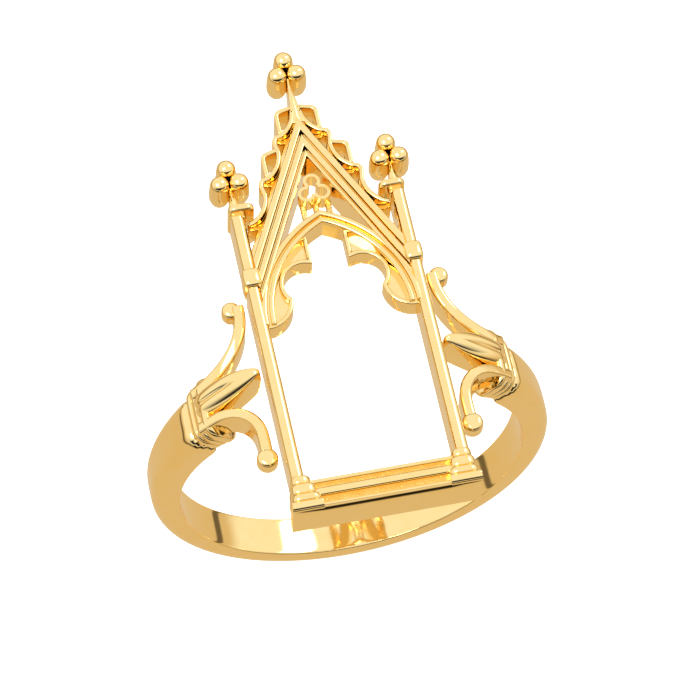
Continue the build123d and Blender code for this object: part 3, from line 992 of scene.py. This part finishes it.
# ---------------------------------------------------------------- base slab and sill
@dataclass
class Footing:
    """The slab under the window and the moulded sill on it."""

    hand: Handover
    block_inner: float = 3.05
    middle_front: float = 10.5
    groove_front: float = 10.2
    lower_rounding: float = 0.3
    upper_rounding: float = 0.12
    end_rounding: float = 0.05
    sill_reach: float = 0.4             # how far the sill runs on past its frame node
    # each moulding: its lower and upper edge, how far forward it stands, and its rounding
    bands: tuple = ((-7.3, -6.85, 10.72, 0.2), (-6.56, -6.35, 10.55, 0.085))

    def make_slab(self) -> None:
        """Shapes the slab: stepped forward under each base, its lower front edge rolled under."""
        space = Space.of("base_slab")
        high = Vector((space.high.x, space.high.y, self.middle_front))
        piece = Bench.block("gold_base_slab", space.low, high)
        with Bench.shaping(piece):
            for edge in (-self.block_inner, self.block_inner):
                Bench.score((edge, 0, 0), (1, 0, 0))
            Bench.draw_out(piece, Kind.FACE,
                           lambda f: faces_towards(f, (0, 0, 1)) and abs(middle(f).x) > self.block_inner,
                           (0, 0, space.high.z - self.middle_front))
            front = self.middle_front - 0.05
            Bench.round_edges(piece, lambda e: runs(e, X) and middle(e).z > front
                              and middle(e).y < space.low.y + 0.01, self.lower_rounding, 6)
            Bench.round_edges(piece, lambda e: runs(e, X) and middle(e).z > front
                              and middle(e).y > space.high.y - 0.01, self.upper_rounding, 4)
            Bench.round_edges(piece, lambda e: runs(e, Y) and middle(e).z > front, self.end_rounding, 2)
        self.hand.give(piece, "base_slab", self.hand.finishes.mirror)

    def make_sill(self) -> None:
        """Shapes the sill: two round mouldings standing on a rough grooved bed, the bed darker in the cast
        finish as painted shade.
        """
        space = Space.of("sill")
        low = Vector((space.low.x - self.sill_reach, space.low.y - 0.02, space.low.z))
        high = Vector((space.high.x + self.sill_reach, space.high.y, self.groove_front))
        piece = Bench.block("gold_sill", low, high)
        with Bench.shaping(piece):
            for bottom, top, front, rounding in self.bands:
                for level in (bottom, top):
                    if level < space.high.y - 0.01:
                        Bench.score((0, level, 0), (0, 1, 0))
            for bottom, top, front, rounding in self.bands:
                Bench.draw_out(piece, Kind.FACE, lambda f: faces_towards(f, (0, 0, 1))
                               and bottom < middle(f).y < top, (0, 0, front - self.groove_front))
            for bottom, top, front, rounding in self.bands:
                Bench.round_edges(piece, lambda e: runs(e, X) and abs(middle(e).z - front) < 0.01
                                  and bottom - 0.01 < middle(e).y < top + 0.01, rounding, 6)
        piece.data.materials.append(self.hand.finishes.mirror)
        piece.data.materials.append(self.hand.finishes.cast)
        # the groove bed's faces take the cast finish: rougher grain, and a darker, more orange colour that is
        # painted shade in the grooves
        for face in piece.data.polygons:
            in_groove = face.normal.z > 0.9 and abs(face.center.z - self.groove_front) < 0.01
            face.material_index = int(in_groove)
        self.hand.give(piece, "sill", self.hand.finishes.mirror)

    def build(self) -> None:
        """Makes the slab and the sill."""
        self.make_slab()
        self.make_sill()


# ---------------------------------------------------------------- gable
@dataclass
class Gable:
    """The steep gable: two beaded rakes and the crest that waves along them."""

    hand: Handover
    apex: float = 13.25
    slope: float = 2.02                 # fall along Y for each millimetre of X
    depth: float = 2.37                 # measured along Y
    bed: float = 10.42
    front: float = 10.75
    grooves: tuple = ((0.86, 0.98), (1.78, 1.9))
    bead_rounding: float = 0.115
    bead_share: float = 0.46            # a bead's rounding, at most, against its width
    bar_start: float = -4.0             # bars are made over-long along X and cut once they lean
    bar_end: float = 12.0
    rake_reach: float = 0.04            # how far a rake runs on past its frame node
    crest_rise: float = 0.75
    crest_front: float = 10.6
    wave_width: float = 0.24
    wave_rounding: float = 0.09
    bed_rounding: float = 0.08
    bed_front: float = 9.7              # the sunk strip between the gable and the wave
    peaks: int = 3
    pitch: float = 2.25                 # from peak to peak, along Y
    first_peak: float = 12.25
    stand: float = 0.8                  # how far a peak stands out past the gable, along X
    drop: float = 0.85                  # how far the line falls straight back from a peak
    swing: float = 0.27                 # how far each unit bows back from a straight run
    crocket_lift: float = 0.22
    crocket_reach: float = 0.8
    crocket_lean: float = 0.2
    crocket_fall: float = 1.2
    crocket_bend: float = 0.25

    @property
    def tilt(self) -> float:
        """The rake's angle below the horizontal, in radians."""
        return math.atan(self.slope)

    def lean(self, piece: bpy.types.Object, offset: float, foot: float) -> None:
        """Turns a bar made along +X down the gable's slope and cuts both its ends upright.

        Args:
            piece: a bar made along +X.
            offset: how far it lies below the gable's outer line, along Y.
            foot: where its lower end is cut, along X.
        """
        with Bench.shaping(piece):
            bpy.ops.mesh.select_all(action="SELECT")
            bpy.ops.transform.rotate(value=self.tilt, orient_axis="Z", center_override=(0, 0, 0))
            bpy.ops.transform.translate(value=(0, self.apex - offset, 0))
            Bench.score((0, 0, 0), (-1, 0, 0), drop_beyond=True)
            Bench.score((foot, 0, 0), (1, 0, 0), drop_beyond=True)

    def make_rake(self) -> None:
        """Shapes a rake: a bar whose face is scored into three rounded beads."""
        space = Space.of("right_rake")
        square = math.cos(self.tilt)
        piece = Bench.block("rake", (self.bar_start, -self.depth * square, space.low.z),
                            (self.bar_end, 0, self.bed))
        edges = [0.0, *(level for groove in self.grooves for level in groove), self.depth]
        with Bench.shaping(piece):
            for level in edges[1:-1]:
                Bench.score((0, -level * square, 0), (0, 1, 0))
            for top, bottom in zip(edges[::2], edges[1::2]):
                Bench.draw_out(piece, Kind.FACE, lambda f: faces_towards(f, (0, 0, 1))
                               and top * square < -middle(f).y < bottom * square,
                               (0, 0, self.front - self.bed))
            for top, bottom in zip(edges[::2], edges[1::2]):
                rounding = min(self.bead_rounding, (bottom - top) * square * self.bead_share)
                Bench.round_edges(piece, lambda e: runs(e, X) and middle(e).z > self.front - 0.01
                                  and top * square - 0.01 < -middle(e).y < bottom * square + 0.01,
                                  rounding, 5)
        self.lean(piece, 0, space.high.x + self.rake_reach)
        self.hand.give_pair(piece, "rake", self.hand.finishes.bright)

    def peak(self, step: int) -> Point:
        """Place of one of the crest's peaks, counted down from the first."""
        y = self.first_peak - step * self.pitch
        return (self.apex - y) / self.slope + self.stand, y

    def wave(self) -> list[Point]:
        """The crest's running line: each unit swings out to a peak, then drops straight back.

        Returns:
            The places along the line.
        """
        line = []
        for step in range(self.peaks):
            x, above = self.peak(step - 1)
            end_x, end_y = self.peak(step)
            foot = above - self.drop
            bow = self.swing / math.hypot(end_x - x, foot - end_y)
            belly = ((x + end_x) / 2 - bow * (foot - end_y), (foot + end_y) / 2 - bow * (end_x - x))
            line += Arc((x, foot), belly, (end_x, end_y)).places(6)
        return line

    def crocket(self, step: int) -> list[Point]:
        """A crocket's line: out from the drop above a peak, round a corner and down onto the swing.

        Args:
            step: which peak it stands above, counted down from the first.

        Returns:
            The places along its line.
        """
        x, above = self.peak(step - 1)
        y = above - self.drop + self.crocket_lift
        far, top = x + self.crocket_reach, y - self.crocket_lean
        corner = quarter_corner((x, y), (far, top), self.crocket_bend)
        return [(x, y), *corner, (far, top - self.crocket_fall)]

    def make_crest(self) -> None:
        """Shapes a crest: a sunk strip along the gable, the wave before it and the crockets on the wave."""
        space = Space.of("right_crest")
        square = math.cos(self.tilt)
        base = Bench.block("crest", (self.bar_start, 0, space.low.z),
                           (self.bar_end, self.crest_rise * square, self.bed_front))
        with Bench.shaping(base):
            Bench.round_edges(base, lambda e: runs(e, X) and middle(e).z > self.bed_front - 0.01,
                              self.bed_rounding, 3)
        self.lean(base, 0, space.high.x)
        pieces = [base]
        for line in (self.wave(), *(self.crocket(step) for step in range(self.peaks - 1))):
            places = [((x, y, self.crest_front), Turn.SMOOTH) for x, y in line]
            pieces.append(Bench.strip("wave", places, self.wave_width, self.crest_front - space.low.z,
                                      self.wave_rounding))
        self.hand.give_pair(Bench.join(pieces), "crest", self.hand.finishes.bright, crease=45)

    def build(self) -> None:
        """Makes the rakes and the crests."""
        self.make_rake()
        self.make_crest()


# ---------------------------------------------------------------- arch and tracery
@dataclass
class Tracery:
    """The pointed arch, its cusps, and the trefoil that stands over it on three brackets."""

    hand: Handover
    foot: Point = (3.55, 2.15)
    apex: float = 7.5
    reach_out: float = 0.34
    reach_in: float = 0.3
    groove: Point = (-0.04, 0.06)
    bed: float = 10.4
    front: float = 10.72
    bead_rounding: float = 0.105
    spin_turn: float = 70.0             # degrees; the rib is spun past the middle and cut there
    spin_steps: int = 42
    rake_overlap: float = 0.03
    rake_foot: float = 10.88            # where the gable's lower edge meets the middle
    cusp_width: float = 0.23
    cusp_rounding: float = 0.085
    cusp_panel: float = 10.1
    panel_steps: int = 12
    stem_x: float = 1.0
    shoulder_y: float = 5.3
    upper_belly: Point = (2.45, 4.75)
    cusp_point: Point = (2.3, 3.4)
    lower_belly: Point = (2.62, 2.62)
    cusp_end_x: float = 3.42
    border_end_x: float = 3.75          # inside the column, past the rib's foot
    lobe_reach: float = 0.44
    lobe: float = 0.42
    lobe_hole: float = 0.26
    middle_hole: float = 0.27
    trefoil_rounding: float = 0.055
    bracket_half: float = 0.14
    bracket_rounding: float = 0.05
    bracket_sink: float = 0.4           # the brackets stay back in the trefoil's shade

    @property
    def radius(self) -> float:
        """Radius of the arc that each half of the arch follows."""
        rise = self.apex - self.foot[Y]
        return (rise ** 2 + self.foot[X] ** 2) / (2 * self.foot[X])

    @property
    def centre(self) -> Vector:
        """Centre of the right half's arc."""
        return Vector((self.foot[X] - self.radius, self.foot[Y], 0))

    def make_rib(self) -> None:
        """Spins the rib's beaded section along the arch, and trims it under the gable."""
        space = Space.of("right_arch_rib")
        x = self.foot[X]
        piece = Bench.section("arch_rib", (x - self.reach_in, space.low.z), (x + self.reach_out, self.bed),
                              self.foot[Y], upright=Y)
        with Bench.shaping(piece):
            for level in self.groove:
                Bench.score((x + level, 0, 0), (1, 0, 0))
            in_groove = lambda e: self.groove[0] < middle(e).x - x < self.groove[1]
            Bench.draw_out(piece, Kind.EDGE, lambda e: runs(e, X) and middle(e).z > self.bed - 0.01
                           and not in_groove(e), (0, 0, self.front - self.bed))
            Bench.pick(piece, Kind.VERT, lambda v: v.co.z > self.front - 0.01)
            bpy.ops.mesh.bevel(offset=self.bead_rounding, segments=4, profile=0.5, affect="VERTICES")
            bpy.ops.mesh.select_all(action="SELECT")
            bpy.ops.mesh.spin(steps=self.spin_steps, angle=-math.radians(self.spin_turn),
                              center=self.centre, axis=(0, 0, 1))
            Bench.score((0, 0, 0), (-1, 0, 0), drop_beyond=True)
            across_rake = Vector((Gable.slope, 1, 0)).normalized()
            Bench.score((0, self.rake_foot + self.rake_overlap, 0), across_rake, drop_beyond=True)
            bpy.ops.mesh.select_all(action="SELECT")
            bpy.ops.mesh.remove_doubles(threshold=MERGE)
        self.hand.give_pair(piece, "arch_rib", self.hand.finishes.bright)

    def cusp_border(self) -> list[tuple[Point, Turn]]:
        """The cusping's edge: an upright stem and two foils, sharp where they meet.

        Returns:
            Each place, and how the strip passes through it.
        """
        head = (self.stem_x, self.centre.y + math.sqrt(self.radius ** 2 - (self.stem_x - self.centre.x) ** 2))
        shoulder = (self.stem_x, self.shoulder_y)
        upper = Arc(shoulder, self.upper_belly, self.cusp_point).places()
        lower = Arc(self.cusp_point, self.lower_belly, (self.cusp_end_x, self.foot[1])).places()
        sharp = (shoulder, upper[-1])
        return [(place, Turn.SHARP if place in sharp else Turn.SMOOTH)
                for place in (head, shoulder, *upper[1:], *lower[1:])]

    def make_cusping(self) -> None:
        """Shapes one side's cusps: a sunk panel bordered by a raised strip."""
        space = Space.of("right_cusping")
        edge = self.cusp_border()
        closing = ((self.border_end_x, self.foot[Y]), Turn.SMOOTH)
        line = [((x, y, space.high.z), turn) for (x, y), turn in (*edge, closing)]
        border = Bench.strip("border", line, self.cusp_width, space.size.z, self.cusp_rounding)
        head = edge[0][0]
        lean = math.atan2(head[1] - self.centre.y, head[0] - self.centre.x)
        arch = [(self.centre.x + self.radius * math.cos(lean * step / self.panel_steps),
                 self.centre.y + self.radius * math.sin(lean * step / self.panel_steps))
                for step in range(self.panel_steps)]
        outline = [place for place, _ in edge] + arch
        Bench.clear()
        bpy.ops.mesh.primitive_plane_add(size=0.01, location=(*head, space.low.z))
        panel = Bench.adopt("cusping")
        with Bench.shaping(panel):
            bpy.ops.mesh.select_all(action="SELECT")
            bpy.ops.mesh.merge(type="CENTER")
            for here, place in zip(outline, outline[1:]):
                bpy.ops.mesh.extrude_region_move(
                    TRANSFORM_OT_translate={"value": (place[0] - here[0], place[1] - here[1], 0)})
            bpy.ops.mesh.select_all(action="SELECT")
            bpy.ops.mesh.edge_face_add()
            rise = self.cusp_panel - space.low.z
            bpy.ops.mesh.extrude_region_move(TRANSFORM_OT_translate={"value": (0, 0, rise)})
        Bench.heal(panel)
        self.hand.give_pair(Bench.join([panel, border]), "cusping", self.hand.finishes.bright, crease=45)

    def make_trefoil(self) -> None:
        """Shapes the trefoil: three lobes round one three-lobed opening."""
        space = Space.of("trefoil")
        middle_y = space.high.y - self.lobe - self.lobe_reach
        depth = space.size.z
        level = space.centre.z
        body = Bench.drum("gold_trefoil", (0, middle_y, level), self.lobe_reach, depth)
        cutter = Bench.drum("cutter", (0, middle_y, level), self.middle_hole, depth * 2)
        for turn in (90, 210, 330):
            angle = math.radians(turn)
            place = (self.lobe_reach * math.cos(angle), middle_y + self.lobe_reach * math.sin(angle), level)
            lobe = Bench.drum("lobe", place, self.lobe, depth)
            hole = Bench.drum("hole", place, self.lobe_hole, depth * 2)
            for target, tool in ((body, lobe), (cutter, hole)):
                Bench.modify(target, "BOOLEAN", object=tool, operation="UNION", solver="EXACT")
                bpy.data.objects.remove(tool)
        Bench.modify(body, "BOOLEAN", object=cutter, operation="DIFFERENCE", solver="EXACT")
        bpy.data.objects.remove(cutter)
        Bench.modify(body, "BEVEL", width=self.trefoil_rounding, segments=4, limit_method="ANGLE",
                     angle_limit=math.radians(50))
        self.hand.give(body, "trefoil", self.hand.finishes.bright)

    def make_brackets(self) -> None:
        """Shapes the three little brackets under the trefoil, darkened by the cast finish as painted shade.
        """
        space = Space.of("trefoil_brackets")
        blocks = []
        half, front = self.bracket_half, space.high.z - self.bracket_sink
        for x in (space.low.x + half, 0, space.high.x - half):
            block = Bench.block("gold_trefoil_brackets", (x - half, space.low.y, space.low.z),
                                (x + half, space.high.y, front))
            with Bench.shaping(block):
                Bench.round_edges(block, lambda e: middle(e).z > front - 0.01 or runs(e, Z),
                                  self.bracket_rounding, 3)
            blocks.append(block)
        # the cast finish's darker, more orange colour is painted shade under the trefoil, over its rougher
        # grain
        self.hand.give(Bench.join(blocks), "trefoil_brackets", self.hand.finishes.cast)

    def build(self) -> None:
        """Makes the arch and everything it frames."""
        self.make_rib()
        self.make_cusping()
        self.make_trefoil()
        self.make_brackets()


# ---------------------------------------------------------------- shoulders
@dataclass
class Shoulders:
    """The leaf and the two scrolls that join each shoulder to its column."""

    hand: Handover
    outer: float = 10.65
    inner: float = 9.0
    width: float = 0.58
    rounding: float = 0.17
    depth: float = 1.72
    eye_depth: float = 0.95
    eye_rounding: float = 0.27
    arm_root: float = 7.75
    # each arm: root's y, stem's x, tip's y, radius of the turn
    upper: tuple = (0.88, 4.78, 4.1, 2.95)
    upper_eye: tuple = (5.12, 4.03, 0.47)
    lower: tuple = (-0.98, 4.95, -3.9, 2.0)
    lower_eye: tuple = (4.98, -4.17, 0.52)
    leaf_tip: Point = (4.3, 0.1)
    leaf_root_half: float = 0.61
    leaf_upper_belly: Point = (6.2, 0.9)
    leaf_lower_belly: Point = (6.5, -0.7)
    leaf_front: Arc = Arc((4.3, 10.25), (5.95, 9.2), (7.75, 7.5))       # in X and Z
    leaf_back: float = 9.15             # radius of its underside, just outside the finger hole
    leaf_steps: int = 8
    leaf_nose: float = 0.12             # the last station stands this far short of the tip
    leaf_splits: tuple = (0.22, 0.47, 0.55, 0.63, 0.85)                 # shares across, where scored
    # share across the leaf, and its front's fall there as a share of its breadth times its roundness
    leaf_falls: tuple = ((0, 0.75), (0.22, 0.2), (1, 0.3), (0.85, 0.06))
    leaf_roundness: float = 0.62
    slot_share: float = 0.55
    slot_depth: float = 0.34
    slot_end: float = 5.6               # where the slot runs out, along X
    slot_ramp: float = 0.8              # it is at its full depth this far from its end

    def height(self, x: float, radius: float) -> float:
        """Height of a cylinder round the finger over a place along X."""
        return math.sqrt(radius ** 2 - x ** 2)

    def make_scroll(self, stem: str, arm: tuple[float, float, float, float],
                    eye: tuple[float, float, float]) -> None:
        """Bends a strip round the finger's curve and ends it in a round eye.

        Args:
            stem: the nodes' name after right_ or left_.
            arm: root's y, stem's x, tip's y and radius of the turn.
            eye: x, y and radius.
        """
        root_y, stem_x, tip_y, turn = arm
        route = quarter_bend((self.arm_root, root_y), stem_x, tip_y, turn)
        line = [((x, y, self.height(x, self.outer)), Turn.SMOOTH) for x, y in route]
        strip = Bench.strip(stem, line, self.width, self.depth, self.rounding)
        x, y, radius = eye
        top = self.height(x, self.outer)
        button = Bench.drum("eye", (x, y, top - self.eye_depth / 2 + 0.01), radius, self.eye_depth)
        with Bench.shaping(button):
            Bench.pick(button, Kind.FACE, lambda f: faces_towards(f, (0, 0, 1)))
            bpy.ops.mesh.bevel(offset=self.eye_rounding, segments=7, affect="EDGES")
            Bench.pick(button, Kind.FACE, lambda f: faces_towards(f, (0, 0, -1)))
            bpy.ops.mesh.bevel(offset=self.eye_rounding, segments=4, affect="EDGES")
        whole = Bench.join([strip, button])
        self.hand.give_pair(whole, stem, self.hand.finishes.mirror, crease=50, flats=False)

    def leaf_stations(self) -> list[tuple[float, float, float, float, float]]:
        """The leaf's stations from its root: x, low y, high y, front z and back z.

        Returns:
            The stations from root to tip.
        """
        upper = Arc((self.arm_root, self.leaf_root_half), self.leaf_upper_belly, self.leaf_tip)
        lower = Arc((self.arm_root, -self.leaf_root_half), self.leaf_lower_belly, self.leaf_tip)
        reach = self.arm_root - self.leaf_tip[0] - self.leaf_nose
        places = [self.arm_root - reach * step / (self.leaf_steps - 1) for step in range(self.leaf_steps)]
        return [(x, lower.level(x), upper.level(x), self.leaf_front.level(x), self.height(x, self.leaf_back))
                for x in places]

    def make_leaf(self) -> None:
        """Draws the leaf out from its root, station by station, and sinks its slot."""
        stations = self.leaf_stations()
        x, low, high, front, back = stations[0]
        piece = Bench.section("leaf", (low, back), (high, front), x, upright=X)
        with Bench.shaping(piece):
            for share in self.leaf_splits:
                Bench.score((0, low + (high - low) * share, 0), (0, 1, 0))
            bpy.ops.mesh.select_all(action="SELECT")
            for (x0, l0, h0, f0, b0), (x1, l1, h1, f1, b1) in zip(stations, stations[1:]):
                bpy.ops.mesh.extrude_region_move(TRANSFORM_OT_translate={
                    "value": (x1 - x0, (l1 + h1 - l0 - h0) / 2, (f1 + b1 - f0 - b0) / 2)})
                bpy.ops.transform.resize(value=(1, (h1 - l1) / (h0 - l0), (f1 - b1) / (f0 - b0)),
                                         center_override=(x1, (l1 + h1) / 2, (f1 + b1) / 2))
            for x, low, high, front, back in stations:
                here = lambda v, x=x, front=front: abs(v.co.x - x) < 0.01 and v.co.z > front - 0.02
                breadth = high - low
                for share, fall in self.leaf_falls:
                    Bench.push(piece, Kind.VERT, lambda v, y=low + breadth * share: here(v)
                               and abs(v.co.y - y) < 0.01, (0, 0, -fall * breadth * self.leaf_roundness))
                if x > self.slot_end:
                    depth = self.slot_depth * min(1.0, (x - self.slot_end) / self.slot_ramp)
                    Bench.push(piece, Kind.VERT, lambda v, y=low + breadth * self.slot_share: here(v)
                               and abs(v.co.y - y) < 0.01, (0, 0, -depth))
        Bench.heal(piece)
        Bench.modify(piece, "SUBSURF", levels=3, render_levels=3)
        self.hand.give_pair(piece, "leaf", self.hand.finishes.mirror, crease=60, flats=False)

    def build(self) -> None:
        """Makes both shoulders."""
        self.make_scroll("upper_scroll", self.upper, self.upper_eye)
        self.make_scroll("lower_scroll", self.lower, self.lower_eye)
        self.make_leaf()


# ---------------------------------------------------------------- studio
@dataclass
class Studio:
    """Pale floor, soft light and the camera."""

    floor_half: float = 0.6
    azimuth: float = -14.64
    elevation: float = 62.6
    roll: float = 3.08
    distance: float = 0.2487
    aim: tuple = (0.000853, 0.00444, 0.00234)
    lens: float = 258.4
    sensor: float = 36.0
    gap_half_width: float = 0.95
    gap_height: float = 0.07
    gap_half_height: float = 0.52
    slit_half_height: float = 0.06      # level light across the gap, so upright faces aren't black
    slit_fade: float = 0.06
    seam_rise: float = -0.22
    tent_colour: tuple = (1.03, 1.03, 1.06, 1)
    table_colour: tuple = (0.74, 0.6, 0.42, 1)

    def lay_floor(self) -> None:
        """Lays a floor that the gold doesn't mirror: the sky's lower half stands for it."""
        Bench.clear()
        bpy.ops.mesh.primitive_plane_add(size=2 * self.floor_half, location=(0, 0, cad_low.z))
        floor = bpy.context.object
        floor.name = "studio_floor"
        floor.visible_glossy = False
        material = bpy.data.materials.new("studio_white")
        material.use_nodes = True
        tree = material.node_tree
        tree.nodes.remove(tree.nodes["Principled BSDF"])
        matt = tree.nodes.new("ShaderNodeBsdfDiffuse")
        socket(matt, "Color", (0.9, 0.9, 0.9, 1))
        glow = tree.nodes.new("ShaderNodeEmission")
        socket(glow, "Strength", 0.82)
        both = tree.nodes.new("ShaderNodeAddShader")
        tree.links.new(matt.outputs[0], both.inputs[0])
        tree.links.new(glow.outputs[0], both.inputs[1])
        tree.links.new(both.outputs[0], tree.nodes["Material Output"].inputs["Surface"])
        floor.data.materials.append(material)

    def hang_sky(self) -> None:
        """Surrounds the ring with a white tent over a table, with a dark gap low in front."""
        world = bpy.data.worlds.new("studio_tent")
        bpy.context.scene.world = world
        world.use_nodes = True
        tree = world.node_tree
        link = tree.links.new
        nodes = tree.nodes

        def maths(operation: str, a: object, b: object = None, clamp: bool = False) -> bpy.types.NodeSocket:
            """One Math node on sockets or numbers.

            Args:
                operation: the node's operation.
                a: its first socket or number.
                b: its second socket or number.
                clamp: whether the result stays from 0 to 1.

            Returns:
                The node's output.
            """
            node = nodes.new("ShaderNodeMath")
            node.operation = operation
            node.use_clamp = clamp
            for slot, value in zip(node.inputs, (a, b)):
                if isinstance(value, bpy.types.NodeSocket):
                    link(value, slot)
                elif value is not None:
                    slot.default_value = value
            return node.outputs[0]

        def ramp(value: bpy.types.NodeSocket, start: float, end: float, low: float, high: float
                 ) -> bpy.types.NodeSocket:
            """A smooth step of a socket.

            Args:
                value: the socket to map.
                start: where the step begins.
                end: where it ends.
                low: the result before it.
                high: the result after it.

            Returns:
                The node's output.
            """
            node = nodes.new("ShaderNodeMapRange")
            node.interpolation_type = "SMOOTHSTEP"
            link(value, node.inputs["Value"])
            for name, number in (("From Min", start), ("From Max", end), ("To Min", low), ("To Max", high)):
                socket(node, name, number)
            return node.outputs["Result"]

        place = nodes.new("ShaderNodeTexCoord")
        parts = nodes.new("ShaderNodeSeparateXYZ")
        link(place.outputs["Generated"], parts.inputs[0])
        x, y, z = parts.outputs
        rise = maths("ARCSINE", z)
        across = maths("DIVIDE", x, self.gap_half_width)
        above = maths("DIVIDE", maths("SUBTRACT", z, self.gap_height), self.gap_half_height)
        square = maths("ADD", maths("MULTIPLY", across, across), maths("MULTIPLY", above, above))
        spread = maths("SQRT", square)
        opening = ramp(spread, 0.8, 1.12, 1.0, 0.0)
        ahead = ramp(maths("MULTIPLY", y, -1.0), 0.0, 0.2, 0.0, 1.0)
        slit_end = self.slit_half_height + self.slit_fade
        shut = ramp(maths("ABSOLUTE", z), self.slit_half_height, slit_end, 0.0, 1.0)
        seam = ramp(maths("ABSOLUTE", maths("SUBTRACT", rise, self.seam_rise)), 0.03, 0.07, 0.8, 0.0)
        dark = maths("MAXIMUM", maths("MULTIPLY", maths("MULTIPLY", opening, ahead), shut), seam)
        tent = nodes.new("ShaderNodeMix")
        tent.data_type = "RGBA"
        link(ramp(rise, -0.1, 0.12, 0.0, 1.0), tent.inputs[0])
        tent.inputs[6].default_value = self.table_colour
        tent.inputs[7].default_value = self.tent_colour
        level = maths("SUBTRACT", 1.0, maths("MULTIPLY", dark, 0.97))
        seen = nodes.new("ShaderNodeLightPath").outputs["Is Camera Ray"]
        shown = nodes.new("ShaderNodeMix")
        link(seen, shown.inputs[0])
        link(level, shown.inputs[2])
        shown.inputs[3].default_value = 1.0
        backdrop = nodes.new("ShaderNodeMix")
        backdrop.data_type = "RGBA"
        link(seen, backdrop.inputs[0])
        link(tent.outputs[2], backdrop.inputs[6])
        backdrop.inputs[7].default_value = (1, 1, 1, 1)
        background = nodes["Background"]
        link(backdrop.outputs[2], background.inputs["Color"])
        link(shown.outputs[0], background.inputs["Strength"])

    def hang_lamp(self, name: str, place: Sequence[float], size: float, power: float) -> None:
        """Hangs a square soft lamp that faces the ring.

        Args:
            name: the lamp's name.
            place: where it hangs, in metres.
            size: its side, in metres.
            power: its power, in watts.
        """
        Bench.clear()
        bpy.ops.object.light_add(type="AREA", location=place)
        lamp = bpy.context.object
        lamp.name = name
        lamp.data.size = size
        lamp.data.energy = power
        lamp.rotation_euler = (-Vector(place)).to_track_quat("-Z", "Y").to_euler()

    def set_camera(self) -> None:
        """Stands the camera off the ring at its viewing angle."""
        turn, rise, roll = (math.radians(angle) for angle in (self.azimuth, self.elevation, self.roll))
        back = Vector((math.sin(turn) * math.cos(rise), -math.cos(turn) * math.cos(rise), math.sin(rise)))
        level = Vector((math.cos(turn), math.sin(turn), 0))
        up = back.cross(level) * math.cos(roll) - level * math.sin(roll)
        place = back * self.distance
        sight = (Vector(self.aim) - place).normalized()
        right = sight.cross(up).normalized()
        head = right.cross(sight)
        data = bpy.data.cameras.new("camera")
        data.lens = self.lens
        data.sensor_width = self.sensor
        data.clip_start, data.clip_end = 0.005, 5
        camera = bpy.data.objects.new("camera", data)
        bpy.context.scene.collection.objects.link(camera)
        turned = Matrix((right, head, -sight)).transposed().to_4x4()
        camera.matrix_world = Matrix.Translation(place) @ turned
        bpy.context.scene.camera = camera

    def build(self) -> None:
        """Sets up floor, light and camera."""
        bpy.context.scene.view_settings.view_transform = "Standard"
        self.lay_floor()
        self.hang_sky()
        self.hang_lamp("key_lamp", (-0.25, -0.1, 0.5), 0.25, 1.2)
        self.hang_lamp("fill_lamp", (0.35, 0.2, 0.4), 0.2, 0.5)
        self.set_camera()


def main() -> None:
    """Builds the ring on its frame, lights it, and logs how many pieces were handed over."""
    logging.basicConfig(level=logging.INFO, format="%(name)s: %(message)s")
    hand = Handover(Finishes())
    for assembly in (Band, Columns, Finials, Footing, Gable, Tracery, Shoulders):
        log.info("making %s", assembly.__name__)
        assembly(hand).build()
    Studio().build()
    log.info("%d pieces handed over", hand.count)


if __name__ == "__main__":
    main()
